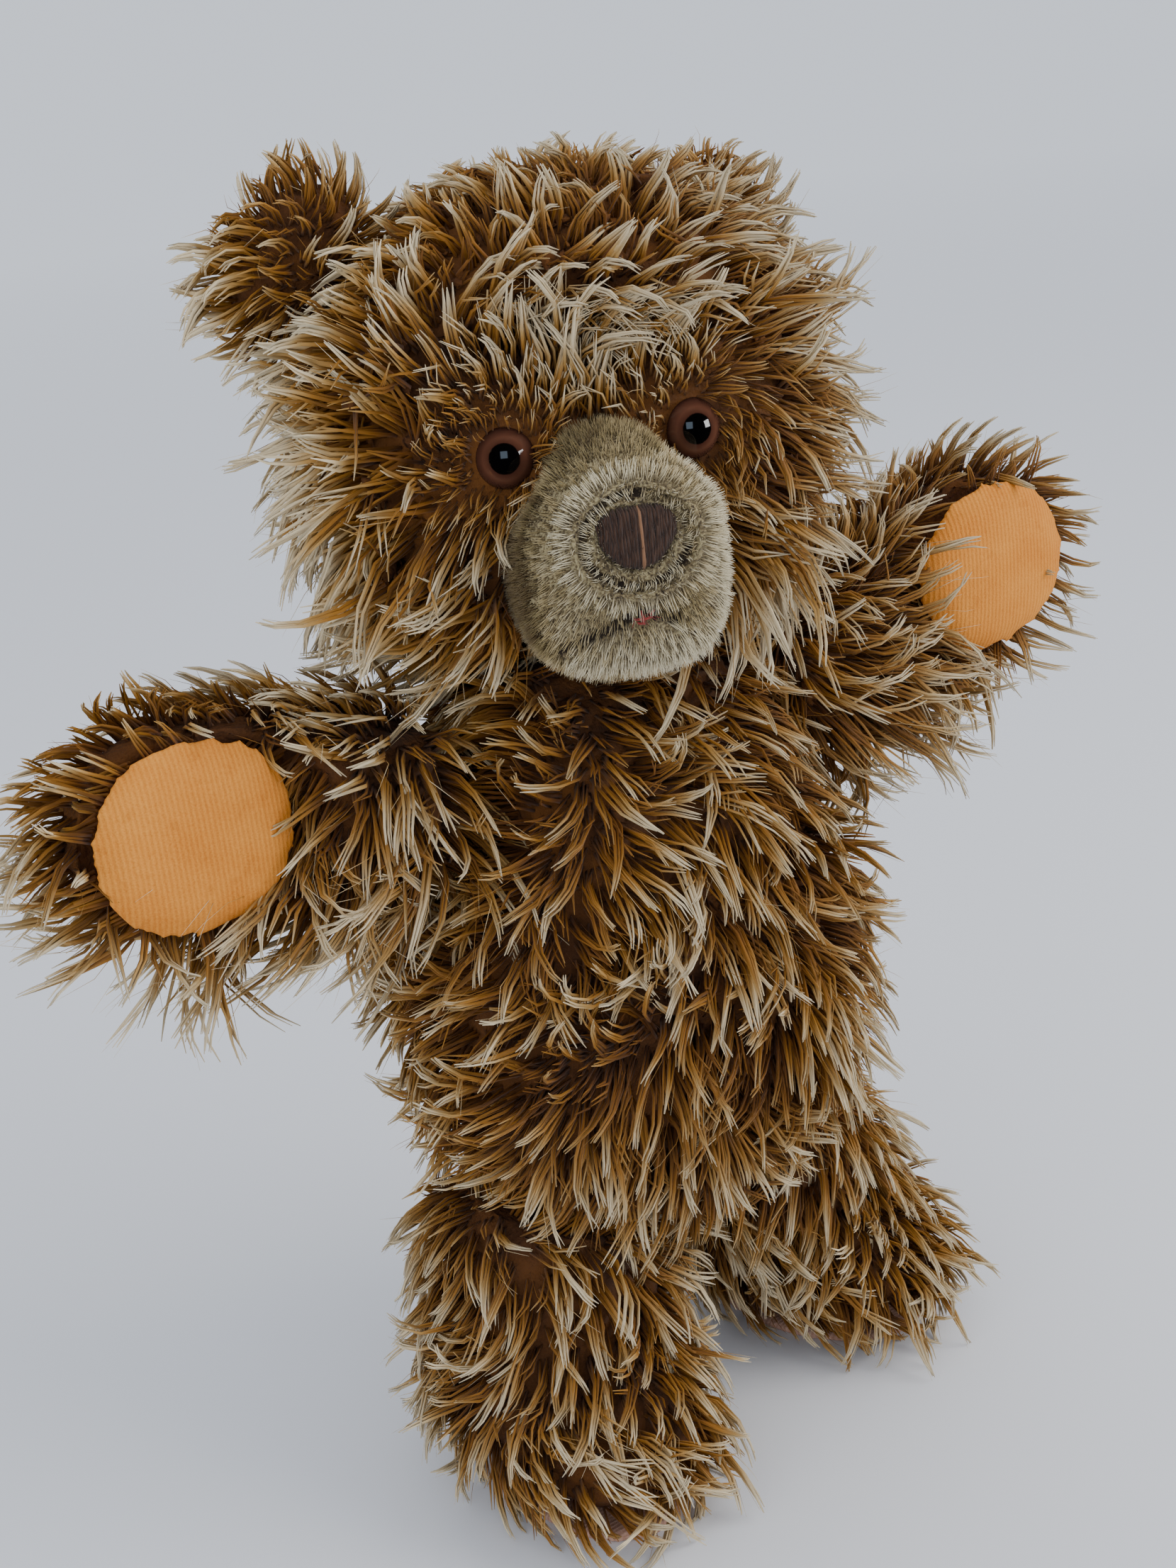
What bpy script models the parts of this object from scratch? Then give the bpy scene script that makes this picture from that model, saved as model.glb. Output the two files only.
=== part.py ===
"""A soft teddy bear of long tipped plush, standing on its feet with its arms held out.

Metres, +Z up. The bear faces -Y, so its own right side is at -X. The origin is on the floor under the
middle of the whole bear. Every stuffed part is one solid that stands for its sewn cover and its stuffing,
and its coarse leaning tufts are the locks of the pile.
"""

import math
import random

import bmesh
import bpy
from mathutils import Matrix, Vector
from mathutils.bvhtree import BVHTree

# Driving dimensions
GAP = 0.0003  # room left between neighbouring pieces
TUFT = 0.010  # how far the locks stand above the body of a long-pile part
SEED = 7

HEAD_CENTRE = Vector((-0.003, -0.003, 0.281))
HEAD_HALF = Vector((0.059, 0.053, 0.056))
HEAD_TURN = math.radians(-18)  # the head looks a little to the bear's right
NECK_HEIGHT = 0.231

TORSO_CENTRE = Vector((0.001, 0, 0.148))
TORSO_HALF = Vector((0.059, 0.042, 0.085))

SHOULDER = Vector((0.044, 0, 0.196))
ARM_HALF = Vector((0.057, 0.023, 0.024))
ARM_RAISE = {"right": math.radians(10), "left": math.radians(18)}
ARM_FORWARD = {"right": math.radians(4), "left": math.radians(3)}
ARM_REACH = {"right": 0.95, "left": 1.02}  # the left arm is stretched out a little further
SHOULDER_SEAT = 0.036  # radius of the place on the torso's side where an arm is sewn on
PAW_CENTRE = 0.074  # from the shoulder to the middle of the paw
PAD_HALF = Vector((0.0250, 0.0055, 0.0238))
PAD_SEAT = 0.013  # how far in front of the arm's own axis the pad is seated

HIP_HEIGHT = 0.081
LEG_HALF = Vector((0.030, 0.029, 0.052))
FOOT_FORWARD = 0.013
FOOT_STRETCH = 1.6  # how much longer the foot is than the leg is deep
ANKLE = 0.043  # height where the leg starts to widen into the foot
FOOT_PLACE = {"right": Vector((-0.039, -0.007, 0)), "left": Vector((0.051, 0.016, 0))}
FOOT_TURN = {"right": math.radians(4), "left": math.radians(26)}  # the toes point outwards
HIP_PLACE = {"right": Vector((-0.031, -0.002, HIP_HEIGHT)), "left": Vector((0.037, 0, HIP_HEIGHT))}
CROTCH = 0.003  # the legs part here, a little to the bear's left
HIP_SLOPE = 0.42  # the hip seams rise outwards from the crotch
SOLE_THICK = 0.003
SOLE_HALF = Vector((0.0225, 0.034, 0))

MUZZLE_CENTRE = Vector((0, -0.047, -0.0222))  # from the middle of the head
MUZZLE_HALF = Vector((0.0222, 0.0275, 0.0258))
NOSE_HEIGHT = 0.0077  # above the middle of the muzzle
NOSE_HALF = Vector((0.0083, 0.0020, 0.0068))
NOSE_STITCHES = 11
MOUTH_HEIGHT = -0.0093

EYE_PLACE = {  # back of each eye, from the middle of the head
    "right": Vector((-0.0203, -0.0415, -0.0012)),
    "left": Vector((0.0219, -0.0415, -0.0006)),
}
EYE_OUTWARDS = math.radians(16)
EYE_RADIUS = 0.0068
EYE_DOME = 0.0052
EYE_STEPS = 16
SHANK_RADIUS = 0.0018
SHANK_LENGTH = 0.009
WASHER_RADIUS = 0.007
WASHER_DEPTH = 0.0035  # thickness of backing cloth that the washer clamps
WASHER_THICK = 0.0012

EAR_TILT = {"right": math.radians(54), "left": math.radians(62)}  # from straight up, towards each side
EAR_BACK = {"right": math.radians(6), "left": math.radians(36)}  # the left ear lies folded back
EAR_SEAT = 0.0555  # from the middle of the head to the ear's seam
EAR_HALF = Vector((0.0195, 0.0075, 0.0168))
EAR_SEAT_HALF = Vector((0.027, 0.014, 0))

COLOURS = {
    "long_plush": ((0.36, 0.22, 0.10), 0.95),
    "short_plush": ((0.36, 0.32, 0.23), 0.95),
    "velour": ((0.85, 0.45, 0.16), 0.90),
    "dark_yarn": ((0.07, 0.04, 0.03), 0.85),
    "red_yarn": ((0.45, 0.04, 0.04), 0.85),
    "eye_plastic": ((0.10, 0.04, 0.02), 0.12),
    "washer_plastic": ((0.80, 0.78, 0.72), 0.45),
}


def material(name):
    made = bpy.data.materials.get(name) or bpy.data.materials.new(name)
    made.use_nodes = True
    colour, roughness = COLOURS[name]
    shader = made.node_tree.nodes["Principled BSDF"]
    shader.inputs["Base Color"].default_value = (*colour, 1)
    shader.inputs["Roughness"].default_value = roughness
    shader.inputs["Metallic"].default_value = 0.0
    return made


def smooth(low, high, value):
    """0 below low, 1 above high, and a smooth rise between them. It falls if low is over high."""
    share = min(1, max(0, (value - low) / (high - low)))
    return share * share * (3 - 2 * share)


def node(name, bm, finish, place, smooth_angle=None):
    """The finished mesh as a named object at its place."""
    mesh = bpy.data.meshes.new(name)
    bm.to_mesh(mesh)
    bm.free()
    if smooth_angle:
        mesh.shade_smooth()
        mesh.set_sharp_from_angle(angle=smooth_angle)
    mesh.materials.append(material(finish))
    made = bpy.data.objects.new(name, mesh)
    bpy.context.scene.collection.objects.link(made)
    made.matrix_world = place
    made.parent = bpy.data.objects["bear"]
    return made


def cutter(name, bm, place):
    made = node(name, bm, "long_plush", place)
    made.hide_render = True
    made.display_type = "WIRE"
    return made


def cut_by(piece, tool):
    boolean = piece.modifiers.new(tool.name, "BOOLEAN")
    boolean.operation = "DIFFERENCE"
    boolean.object = tool


def trim(bm, place, point, normal):
    """Removes what lies beyond a plane, given in the bear's frame, and closes the cut."""
    inverse = place.inverted()
    direction = place.to_3x3().inverted() @ normal
    cut = bmesh.ops.bisect_plane(
        bm,
        geom=bm.verts[:] + bm.edges[:] + bm.faces[:],
        plane_co=inverse @ point,
        plane_no=direction.normalized(),
        clear_outer=True,
    )
    rim = [item for item in cut["geom_cut"] if isinstance(item, bmesh.types.BMEdge)]
    bmesh.ops.holes_fill(bm, edges=rim, sides=0)
    bmesh.ops.recalc_face_normals(bm, faces=bm.faces)


def rounded_form(cells, half, power):
    """A closed grid of quads on a rounded block. A power of 2 gives an ellipsoid, and more is boxier."""
    bm = bmesh.new()
    bmesh.ops.create_cube(bm, size=2)
    for axis, count in enumerate(cells):
        along = [
            edge
            for edge in bm.edges
            if abs(edge.verts[0].co[axis] - edge.verts[1].co[axis]) > 1
            and all(
                abs(edge.verts[0].co[other] - edge.verts[1].co[other]) < 1e-6
                for other in range(3)
                if other != axis
            )
        ]
        bmesh.ops.subdivide_edges(bm, edges=along, cuts=count - 1, use_grid_fill=True)
    for vert in bm.verts:
        spread = Vector([math.tan(value * math.pi / 4) for value in vert.co])
        size = sum(abs(value) ** power for value in spread) ** (1 / power)
        vert.co = Vector([value / size * reach for value, reach in zip(spread, half)])
    return bm


def reshape(bm, move):
    for vert in bm.verts:
        vert.co = move(vert.co.copy())


def add_tufts(bm, rng, height, comb):
    """Raises each face into a lock that leans along comb(place), as tall as height(place)."""
    bm.normal_update()
    edge_jitter = 0.0018
    for vert in bm.verts:
        shift = Vector([rng.uniform(-1, 1) for _ in range(3)]) * edge_jitter
        vert.co += shift - vert.normal * shift.dot(vert.normal)
    bm.normal_update()
    plans = [(face, face.calc_center_median(), face.normal.copy()) for face in bm.faces]
    for face, centre, normal in plans:
        tall = height(centre) * rng.uniform(0.72, 1.1)
        lean = comb(centre)
        lean = (lean - normal * lean.dot(normal)) * tall * 0.6
        tip = bmesh.ops.poke(bm, faces=[face])["verts"][0]
        tip.co = centre + normal * tall + lean


def turned(profile, steps):
    """A closed shape of revolution about Z. Its (radius, height) points end on the axis, or meet."""
    bm = bmesh.new()
    verts = [bm.verts.new((radius, 0, height)) for radius, height in profile]
    edges = [bm.edges.new(pair) for pair in zip(verts, verts[1:])]
    bmesh.ops.spin(
        bm, geom=verts + edges, axis=(0, 0, 1), cent=(0, 0, 0), angle=2 * math.pi, steps=steps, use_merge=True
    )
    bmesh.ops.remove_doubles(bm, verts=bm.verts, dist=1e-6)
    bmesh.ops.recalc_face_normals(bm, faces=bm.faces)
    return bm


def seat_cut(radius, depth, squash=1):
    """A round or oval plug along +Z that clears the place where one part is sewn to another."""
    bm = turned([(0, 0), (radius, 0), (radius, depth), (0, depth)], 18)
    bmesh.ops.scale(bm, verts=bm.verts, vec=(1, squash, 1))
    return bm


def head_place():
    return Matrix.Translation(HEAD_CENTRE) @ Matrix.Rotation(HEAD_TURN, 4, "Z")


def mirrored(place, side):
    """A place on the bear's left, or its mirror image on its right."""
    return Vector((place.x if side == "left" else -place.x, place.y, place.z))


# Head, with its ears

FACE_CENTRE = Vector((0, 0, -0.004))
FACE_DROP = 0.0095  # the pile is short round the eyes and the muzzle


def face_share(place):
    """1 in the middle of the face, 0 out on the long pile."""
    if place.y > 0:
        return 0
    across = Vector((place.x, 0, place.z)) - FACE_CENTRE
    return smooth(0.043, 0.027, across.length)


def ear_turn(side):
    """Turns local +Z out of the head along the ear, and local -Y to the ear's hollow front."""
    towards = 1 if side == "left" else -1
    back = Matrix.Rotation(towards * EAR_BACK[side], 4, "Z")
    return back @ Matrix.Rotation(towards * EAR_TILT[side], 4, "Y")


def ear_direction(side):
    return ear_turn(side) @ Vector((0, 0, 1))


def near_an_ear(place):
    nearest = min((place - ear_direction(side) * EAR_SEAT).length for side in ("left", "right"))
    return smooth(0.030, 0.018, nearest)


def make_head(rng):
    place = head_place()
    bm = rounded_form((9, 8, 8), HEAD_HALF, 2.45)

    def hollow_face(at):
        inwards = face_share(at) * FACE_DROP
        return at * (1 - inwards / at.length)

    def height(at):
        return TUFT * (1 - 0.85 * face_share(at)) * (1 - 0.7 * near_an_ear(at))

    def comb(at):
        """Away from the face all round, and down at the back."""
        away = at - Vector((0, -0.07, -0.01))
        return away.normalized() + Vector((0, 0, -0.7 if at.y > 0 else 0.1))

    reshape(bm, hollow_face)
    add_tufts(bm, rng, height, comb)
    trim(bm, place, Vector((0, 0, NECK_HEIGHT + GAP)), Vector((0, 0, -1)))
    head = node("head", bm, "long_plush", place)
    for side in ("left", "right"):
        seat = seat_cut(EAR_SEAT_HALF.x, 0.03, EAR_SEAT_HALF.y / EAR_SEAT_HALF.x)
        cut_by(head, cutter(f"ear_seat_{side}", seat, ear_place(side, EAR_SEAT)))
    cut_by(head, cutter("muzzle_socket", muzzle_form(GAP), muzzle_place()))
    for side in ("left", "right"):
        cut_by(head, cutter(f"eye_socket_{side}", eye_socket(), eye_place(side)))


def ear_place(side, from_middle):
    return head_place() @ Matrix.Translation(ear_direction(side) * from_middle) @ ear_turn(side)


def make_ear(side, rng):
    """A flat cupped ear, sewn to the head along its seat."""
    head = head_place()
    above_seat = 0.0095
    place = ear_place(side, EAR_SEAT + above_seat)
    bm = rounded_form((5, 2, 5), EAR_HALF, 2.3)

    def cup(at):
        return at + Vector((0, 0.10 * at.x * at.x / EAR_HALF.x - 0.0012, 0))

    def comb(at):
        return Vector((at.x, 0, at.z + EAR_HALF.z)).normalized() * 1.4

    def height(at):
        """Full locks on the rim, and none where the seam is."""
        return TUFT * smooth(-above_seat, 0.006, at.z + 0.003)

    reshape(bm, cup)
    add_tufts(bm, rng, height, comb)
    seat = head @ (ear_direction(side) * (EAR_SEAT + GAP))
    trim(bm, place, seat, -(head.to_3x3() @ ear_direction(side)))
    node(f"ear_{side}", bm, "long_plush", place)


# Muzzle, nose and mouth


def muzzle_place():
    return head_place() @ Matrix.Translation(MUZZLE_CENTRE)


def muzzle_shape(at):
    """A wide block below, narrow between the eyes, whose bridge slopes back above the nose."""
    front_rise, shoulder = 0.010, 0.0145
    block_top = front_rise * smooth(0.003, -0.016, at.y)
    between_eyes = smooth(block_top, block_top + shoulder, at.z)
    at.x *= 1 - 0.38 * between_eyes
    if at.y < 0:
        bridge = smooth(NOSE_HEIGHT + 0.006, MUZZLE_HALF.z * 1.05, at.z)
        chin = smooth(-0.014, -MUZZLE_HALF.z, at.z)
        at.y *= 1 - 0.45 * bridge - 0.08 * chin
    return at


def muzzle_form(grow):
    """The muzzle's smooth form, grown on every side for the socket that holds it."""
    half = MUZZLE_HALF + Vector((grow, grow, grow))
    bm = rounded_form((8, 5, 9), half, 3.2)
    reshape(bm, muzzle_shape)
    return bm


def mouth_line(across):
    """Height of the worn mouth crease on the muzzle, highest in the middle."""
    drop_at_corner = 0.0075
    return MOUTH_HEIGHT - drop_at_corner * (abs(across) / MUZZLE_HALF.x) ** 1.3


def make_muzzle():
    bm = muzzle_form(0)
    ring_radius, ring_width, ring_rise = 0.0125, 0.0030, 0.0012
    crease_width, crease_depth = 0.0022, 0.0016

    def pile(at):
        if at.y > -0.6 * MUZZLE_HALF.y:
            return at
        from_nose = math.hypot(at.x, (at.z - NOSE_HEIGHT) * 1.25)
        at.y -= ring_rise * math.exp(-(((from_nose - ring_radius) / ring_width) ** 2))
        off_crease = (at.z - mouth_line(at.x)) / crease_width
        at.y += crease_depth * math.exp(-off_crease * off_crease) * smooth(0.021, 0.014, abs(at.x))
        return at

    reshape(bm, pile)
    surface = BVHTree.FromBMesh(bm)
    muzzle = node("muzzle", bm, "short_plush", muzzle_place(), math.radians(60))
    seat = nose_form(GAP)
    open_in_front = 4
    for vert in seat.verts:
        vert.co.y *= open_in_front if vert.co.y < 0 else 1
    cut_by(muzzle, cutter("nose_seat", seat, nose_place()))
    return surface


def nose_place():
    """The nose is sewn flat against the front of the muzzle."""
    sunk = 0.0005
    return muzzle_place() @ Matrix.Translation((0, -MUZZLE_HALF.y + sunk, NOSE_HEIGHT))


def nose_form(grow):
    """The outline of the satin stitches, wide at the top and rounded in below."""
    half = NOSE_HALF + Vector((grow, grow, grow))
    bm = rounded_form((2 * NOSE_STITCHES, 2, 3), half, 3.2)

    def outline(at):
        narrow = 1 - 0.30 * smooth(0.2 * half.z, -half.z, at.z)
        return Vector((at.x * narrow, at.y, at.z))

    reshape(bm, outline)
    return bm


def make_nose():
    """Upright satin stitches side by side, with a groove between each two."""
    bm = nose_form(0)
    stitch = 2 * NOSE_HALF.x / NOSE_STITCHES
    groove = 0.0004
    for vert in bm.verts:
        if vert.co.y < 0:
            vert.co.y += groove * (0.5 + 0.5 * math.cos(2 * math.pi * vert.co.x / stitch))
    node("nose_embroidery", bm, "dark_yarn", nose_place(), math.radians(40))


def make_mouth_thread(muzzle_surface):
    """What is left of the mouth's red yarn: one short loop lying on the crease."""
    radius, length, bow, count = 0.00045, 0.006, 0.0010, 9
    in_front = -2 * MUZZLE_HALF.y
    points = []
    for step in range(count):
        share = step / (count - 1)
        across = length * (share - 0.6)
        height = mouth_line(across) + bow * math.sin(share * math.pi)
        on_pile = muzzle_surface.ray_cast(Vector((across, in_front, height)), Vector((0, 1, 0)))[0]
        points.append(on_pile - Vector((0, radius + GAP, 0)))
    curve = bpy.data.curves.new("mouth_thread", "CURVE")
    curve.dimensions = "3D"
    curve.bevel_depth = radius
    curve.bevel_resolution = 2
    curve.use_fill_caps = True
    spline = curve.splines.new("POLY")
    spline.points.add(len(points) - 1)
    for slot, point in zip(spline.points, points):
        slot.co = (*point, 1)
    curve.materials.append(material("red_yarn"))
    thread = bpy.data.objects.new("mouth_thread", curve)
    bpy.context.scene.collection.objects.link(thread)
    thread.matrix_world = muzzle_place()
    thread.parent = bpy.data.objects["bear"]


# Eyes and the washers that lock them inside the head


def eye_place(side):
    """Local +Z looks out of the face, and 0 is the back of the eye."""
    outwards = Matrix.Rotation(EYE_OUTWARDS if side == "left" else -EYE_OUTWARDS, 4, "Z")
    looks_forwards = Matrix.Rotation(math.pi / 2, 4, "X")
    return head_place() @ Matrix.Translation(EYE_PLACE[side]) @ outwards @ looks_forwards


def eye_socket():
    """Room for the whole eye, its shank and its washer, open to the front."""
    clear_in_front = 0.022
    profile = [
        (0, -SHANK_LENGTH - GAP),
        (SHANK_RADIUS + GAP, -SHANK_LENGTH - GAP),
        (SHANK_RADIUS + GAP, -WASHER_DEPTH - WASHER_THICK - GAP),
        (WASHER_RADIUS + GAP, -WASHER_DEPTH - WASHER_THICK - GAP),
        (WASHER_RADIUS + GAP, -WASHER_DEPTH + GAP),
        (SHANK_RADIUS + GAP, -WASHER_DEPTH + GAP),
        (SHANK_RADIUS + GAP, -GAP),
        (EYE_RADIUS + GAP, -GAP),
        (EYE_RADIUS + GAP, EYE_DOME / 2),
        (EYE_RADIUS + 2 * TUFT / 3, clear_in_front),
        (0, clear_in_front),
    ]
    return turned(profile, EYE_STEPS)


def make_eye(side):
    rim = 0.0008
    dome = [
        (EYE_RADIUS * math.cos(angle), rim + (EYE_DOME - rim) * math.sin(angle))
        for angle in (step * math.pi / 10 for step in range(6))
    ]
    dome[-1] = (0, EYE_DOME)
    profile = [(0, -SHANK_LENGTH), (SHANK_RADIUS, -SHANK_LENGTH), (SHANK_RADIUS, 0), (EYE_RADIUS, 0)]
    node(f"eye_{side}", turned(profile + dome, EYE_STEPS), "eye_plastic", eye_place(side), math.radians(40))
    back, front = -WASHER_DEPTH - WASHER_THICK, -WASHER_DEPTH
    corners = [
        (SHANK_RADIUS + GAP, back),
        (WASHER_RADIUS, back),
        (WASHER_RADIUS, front),
        (SHANK_RADIUS + GAP, front),
    ]
    washer = turned(corners + corners[:1], 12)
    node(f"eye_washer_{side}", washer, "washer_plastic", eye_place(side), math.radians(40))


# Torso


def hip_normal(side):
    """Out of the torso and down, square to the hip seam."""
    return mirrored(Vector((HIP_SLOPE, 0, -1)), side).normalized()


def shoulder_normal(side):
    raised = ARM_RAISE[side] * 0.6
    return mirrored(Vector((math.cos(raised), 0, math.sin(raised))), side)


def make_torso(rng):
    place = Matrix.Translation(TORSO_CENTRE)
    bm = rounded_form((8, 6, 10), TORSO_HALF, 2.7)

    def pear(at):
        """Narrower at the chest, with the belly a little forward."""
        chest = smooth(0.0, TORSO_HALF.z, at.z)
        belly = math.exp(-(((at.z + 0.02) / 0.045) ** 2))
        forwards = 0.006 * belly if at.y < 0 else 0
        return Vector((at.x * (1 - 0.08 * chest), at.y * (1 - 0.10 * chest) - forwards, at.z))

    def comb(at):
        outwards = Vector((at.x, at.y, 0)).normalized() * 0.3
        return outwards + Vector((0, 0, -1.3))

    def height(at):
        """Full locks, but few inside the seats of the arms."""
        from_arm = math.hypot(at.y, at.z + TORSO_CENTRE.z - SHOULDER.z)
        in_seat = smooth(SHOULDER_SEAT * 1.25, SHOULDER_SEAT, from_arm) * smooth(0.03, 0.04, abs(at.x))
        return TUFT * (1 - 0.75 * in_seat)

    reshape(bm, pear)
    add_tufts(bm, rng, height, comb)
    trim(bm, place, Vector((0, 0, NECK_HEIGHT)), Vector((0, 0, 1)))
    for side in ("left", "right"):
        trim(bm, place, HIP_PLACE[side], hip_normal(side))
    torso = node("torso", bm, "long_plush", place)
    for side in ("left", "right"):
        facing = Vector((0, 0, 1)).rotation_difference(shoulder_normal(side)).to_matrix().to_4x4()
        seat_place = Matrix.Translation(mirrored(SHOULDER, side)) @ facing
        cut_by(torso, cutter(f"shoulder_seat_{side}", seat_cut(SHOULDER_SEAT, 0.04), seat_place))


# Arms and paw pads


def arm_place(side):
    """Local +X runs out along the arm, and local -Y is the palm."""
    towards = -1 if side == "left" else 1
    raised = Matrix.Rotation(towards * ARM_RAISE[side], 4, "Y")
    forward = Matrix.Rotation(towards * ARM_FORWARD[side], 4, "Z")
    return Matrix.Translation(mirrored(SHOULDER, side)) @ forward @ raised


def make_arm(side, rng):
    outwards = 1 if side == "left" else -1
    place = arm_place(side)
    middle = 0.046
    bm = rounded_form((8, 5, 5), ARM_HALF, 2.8)

    paw_centre = outwards * PAW_CENTRE * ARM_REACH[side]

    def wrist(at):
        """A slight waist at the wrist, and a wider flat paw."""
        along = at.x + middle
        paw = smooth(0.040, 0.066, along)
        waist = math.exp(-(((along - 0.036) / 0.022) ** 2))
        wide = 1 + 0.12 * paw - 0.08 * waist
        return Vector((outwards * along * ARM_REACH[side], at.y * (1 - 0.10 * waist), at.z * wide))

    def height(at):
        """Full locks, but hardly any where the pad is sewn on."""
        on_palm = smooth(-0.006, -0.014, at.y)
        from_pad = math.hypot(at.x - paw_centre, at.z)
        return TUFT * 0.9 * (1 - 0.9 * on_palm * smooth(0.036, 0.026, from_pad))

    def comb(at):
        return Vector((outwards * 1.2, 0, -0.45))

    reshape(bm, wrist)
    bmesh.ops.recalc_face_normals(bm, faces=bm.faces)
    add_tufts(bm, rng, height, comb)
    trim(bm, place, mirrored(SHOULDER, side) + shoulder_normal(side) * GAP, -shoulder_normal(side))
    arm = node(f"arm_{side}", bm, "long_plush", place)
    pad_place = place @ Matrix.Translation((paw_centre, -PAD_SEAT, 0))
    flare, clear_in_front = 0.006, 0.030
    profile = [
        (0, -GAP),
        (PAD_HALF.z + 3 * GAP, -GAP),
        (PAD_HALF.z + 3 * GAP, PAD_HALF.y * 0.6),
        (PAD_HALF.z + flare, clear_in_front),
        (0, clear_in_front),
    ]
    seat = turned(profile, 28)
    bmesh.ops.rotate(seat, verts=seat.verts, matrix=Matrix.Rotation(math.pi / 2, 3, "X"))
    bmesh.ops.scale(seat, verts=seat.verts, vec=(PAD_HALF.x / PAD_HALF.z, 1, 1))
    cut_by(arm, cutter(f"pad_seat_{side}", seat, pad_place))
    pad = rounded_form((8, 2, 8), PAD_HALF, 2.15)
    trim(pad, Matrix.Identity(4), Vector((0, 0, 0)), Vector((0, 1, 0)))
    node(f"paw_pad_{side}", pad, "velour", pad_place, math.radians(50))


# Legs and soles


def leg_place(side):
    return Matrix.Translation(FOOT_PLACE[side]) @ Matrix.Rotation(FOOT_TURN[side], 4, "Z")


def foot_share(height):
    return smooth(ANKLE, 0.016, height)


def make_leg(side, rng):
    place = leg_place(side)
    bm = rounded_form((5, 6, 7), LEG_HALF, 2.7)
    below_floor = 0.004  # cut off flat for the sole
    to_hip = HIP_PLACE[side] - FOOT_PLACE[side]
    to_hip = place.to_3x3().inverted() @ Vector((to_hip.x, to_hip.y, 0))

    def boot(at):
        """The lower end stretches forwards into the foot, and the upper end leans in to the hip."""
        height = at.z + LEG_HALF.z - below_floor
        foot = foot_share(height)
        forwards = at.y * (1 + (FOOT_STRETCH - 1) * foot) - FOOT_FORWARD * foot
        lean = to_hip * smooth(0.020, HIP_HEIGHT, height)
        return Vector((at.x + lean.x, forwards + lean.y, height))

    def comb(at):
        forwards = Vector((at.x, at.y, 0)).normalized() * (0.2 + 0.9 * foot_share(at.z))
        return forwards + Vector((0, 0, -1.2 + 0.7 * foot_share(at.z)))

    reshape(bm, boot)
    add_tufts(bm, rng, lambda at: TUFT * (0.45 + 0.5 * smooth(0.004, 0.02, at.z)), comb)
    trim(bm, place, HIP_PLACE[side] + hip_normal(side) * GAP, -hip_normal(side))
    trim(bm, place, Vector((0, 0, SOLE_THICK + GAP)), Vector((0, 0, -1)))
    outwards = mirrored(Vector((1, 0, 0)), side)
    trim(bm, place, Vector((CROTCH, 0, 0)) + outwards * GAP, -outwards)
    node(f"leg_{side}", bm, "long_plush", place)

    sole = bmesh.new()
    bmesh.ops.create_circle(sole, cap_ends=True, segments=24, radius=1)
    bmesh.ops.scale(sole, verts=sole.verts, vec=(SOLE_HALF.x, SOLE_HALF.y, 1))
    bmesh.ops.translate(sole, verts=sole.verts, vec=(0, -FOOT_FORWARD, 0))
    top = bmesh.ops.extrude_face_region(sole, geom=sole.faces[:])
    raised = [item for item in top["geom"] if isinstance(item, bmesh.types.BMVert)]
    bmesh.ops.translate(sole, verts=raised, vec=(0, 0, SOLE_THICK))
    bmesh.ops.recalc_face_normals(sole, faces=sole.faces)
    node(f"sole_pad_{side}", sole, "velour", place, math.radians(40))


def stand_on_origin():
    """Moves the whole bear so that the origin is on the floor under the middle of its box."""
    graph = bpy.context.evaluated_depsgraph_get()
    low, high = Vector((9, 9, 9)), Vector((-9, -9, -9))
    for piece in bpy.data.objects:
        if piece.type == "EMPTY" or piece.hide_render:
            continue
        shape = piece.evaluated_get(graph)
        for vert in shape.to_mesh().vertices:
            at = shape.matrix_world @ vert.co
            low = Vector(map(min, low, at))
            high = Vector(map(max, high, at))
        shape.to_mesh_clear()
    bpy.data.objects["bear"].location = (-(low.x + high.x) / 2, -(low.y + high.y) / 2, -low.z)


def main():
    for old in list(bpy.data.objects):
        bpy.data.objects.remove(old)
    root = bpy.data.objects.new("bear", None)
    bpy.context.scene.collection.objects.link(root)
    rng = random.Random(SEED)
    make_head(rng)
    muzzle_surface = make_muzzle()
    make_nose()
    make_mouth_thread(muzzle_surface)
    make_torso(rng)
    for side in ("left", "right"):
        make_ear(side, rng)
        make_eye(side)
        make_arm(side, rng)
        make_leg(side, rng)
    stand_on_origin()


main()
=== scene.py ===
"""The threadbare teddy bear: long tipped plush over stuffing, a worn muzzle, velour pads and glossy eyes."""

import math

import bmesh
import bpy
import numpy as np
from mathutils import Matrix, Vector, noise
from mathutils.bvhtree import BVHTree


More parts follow.
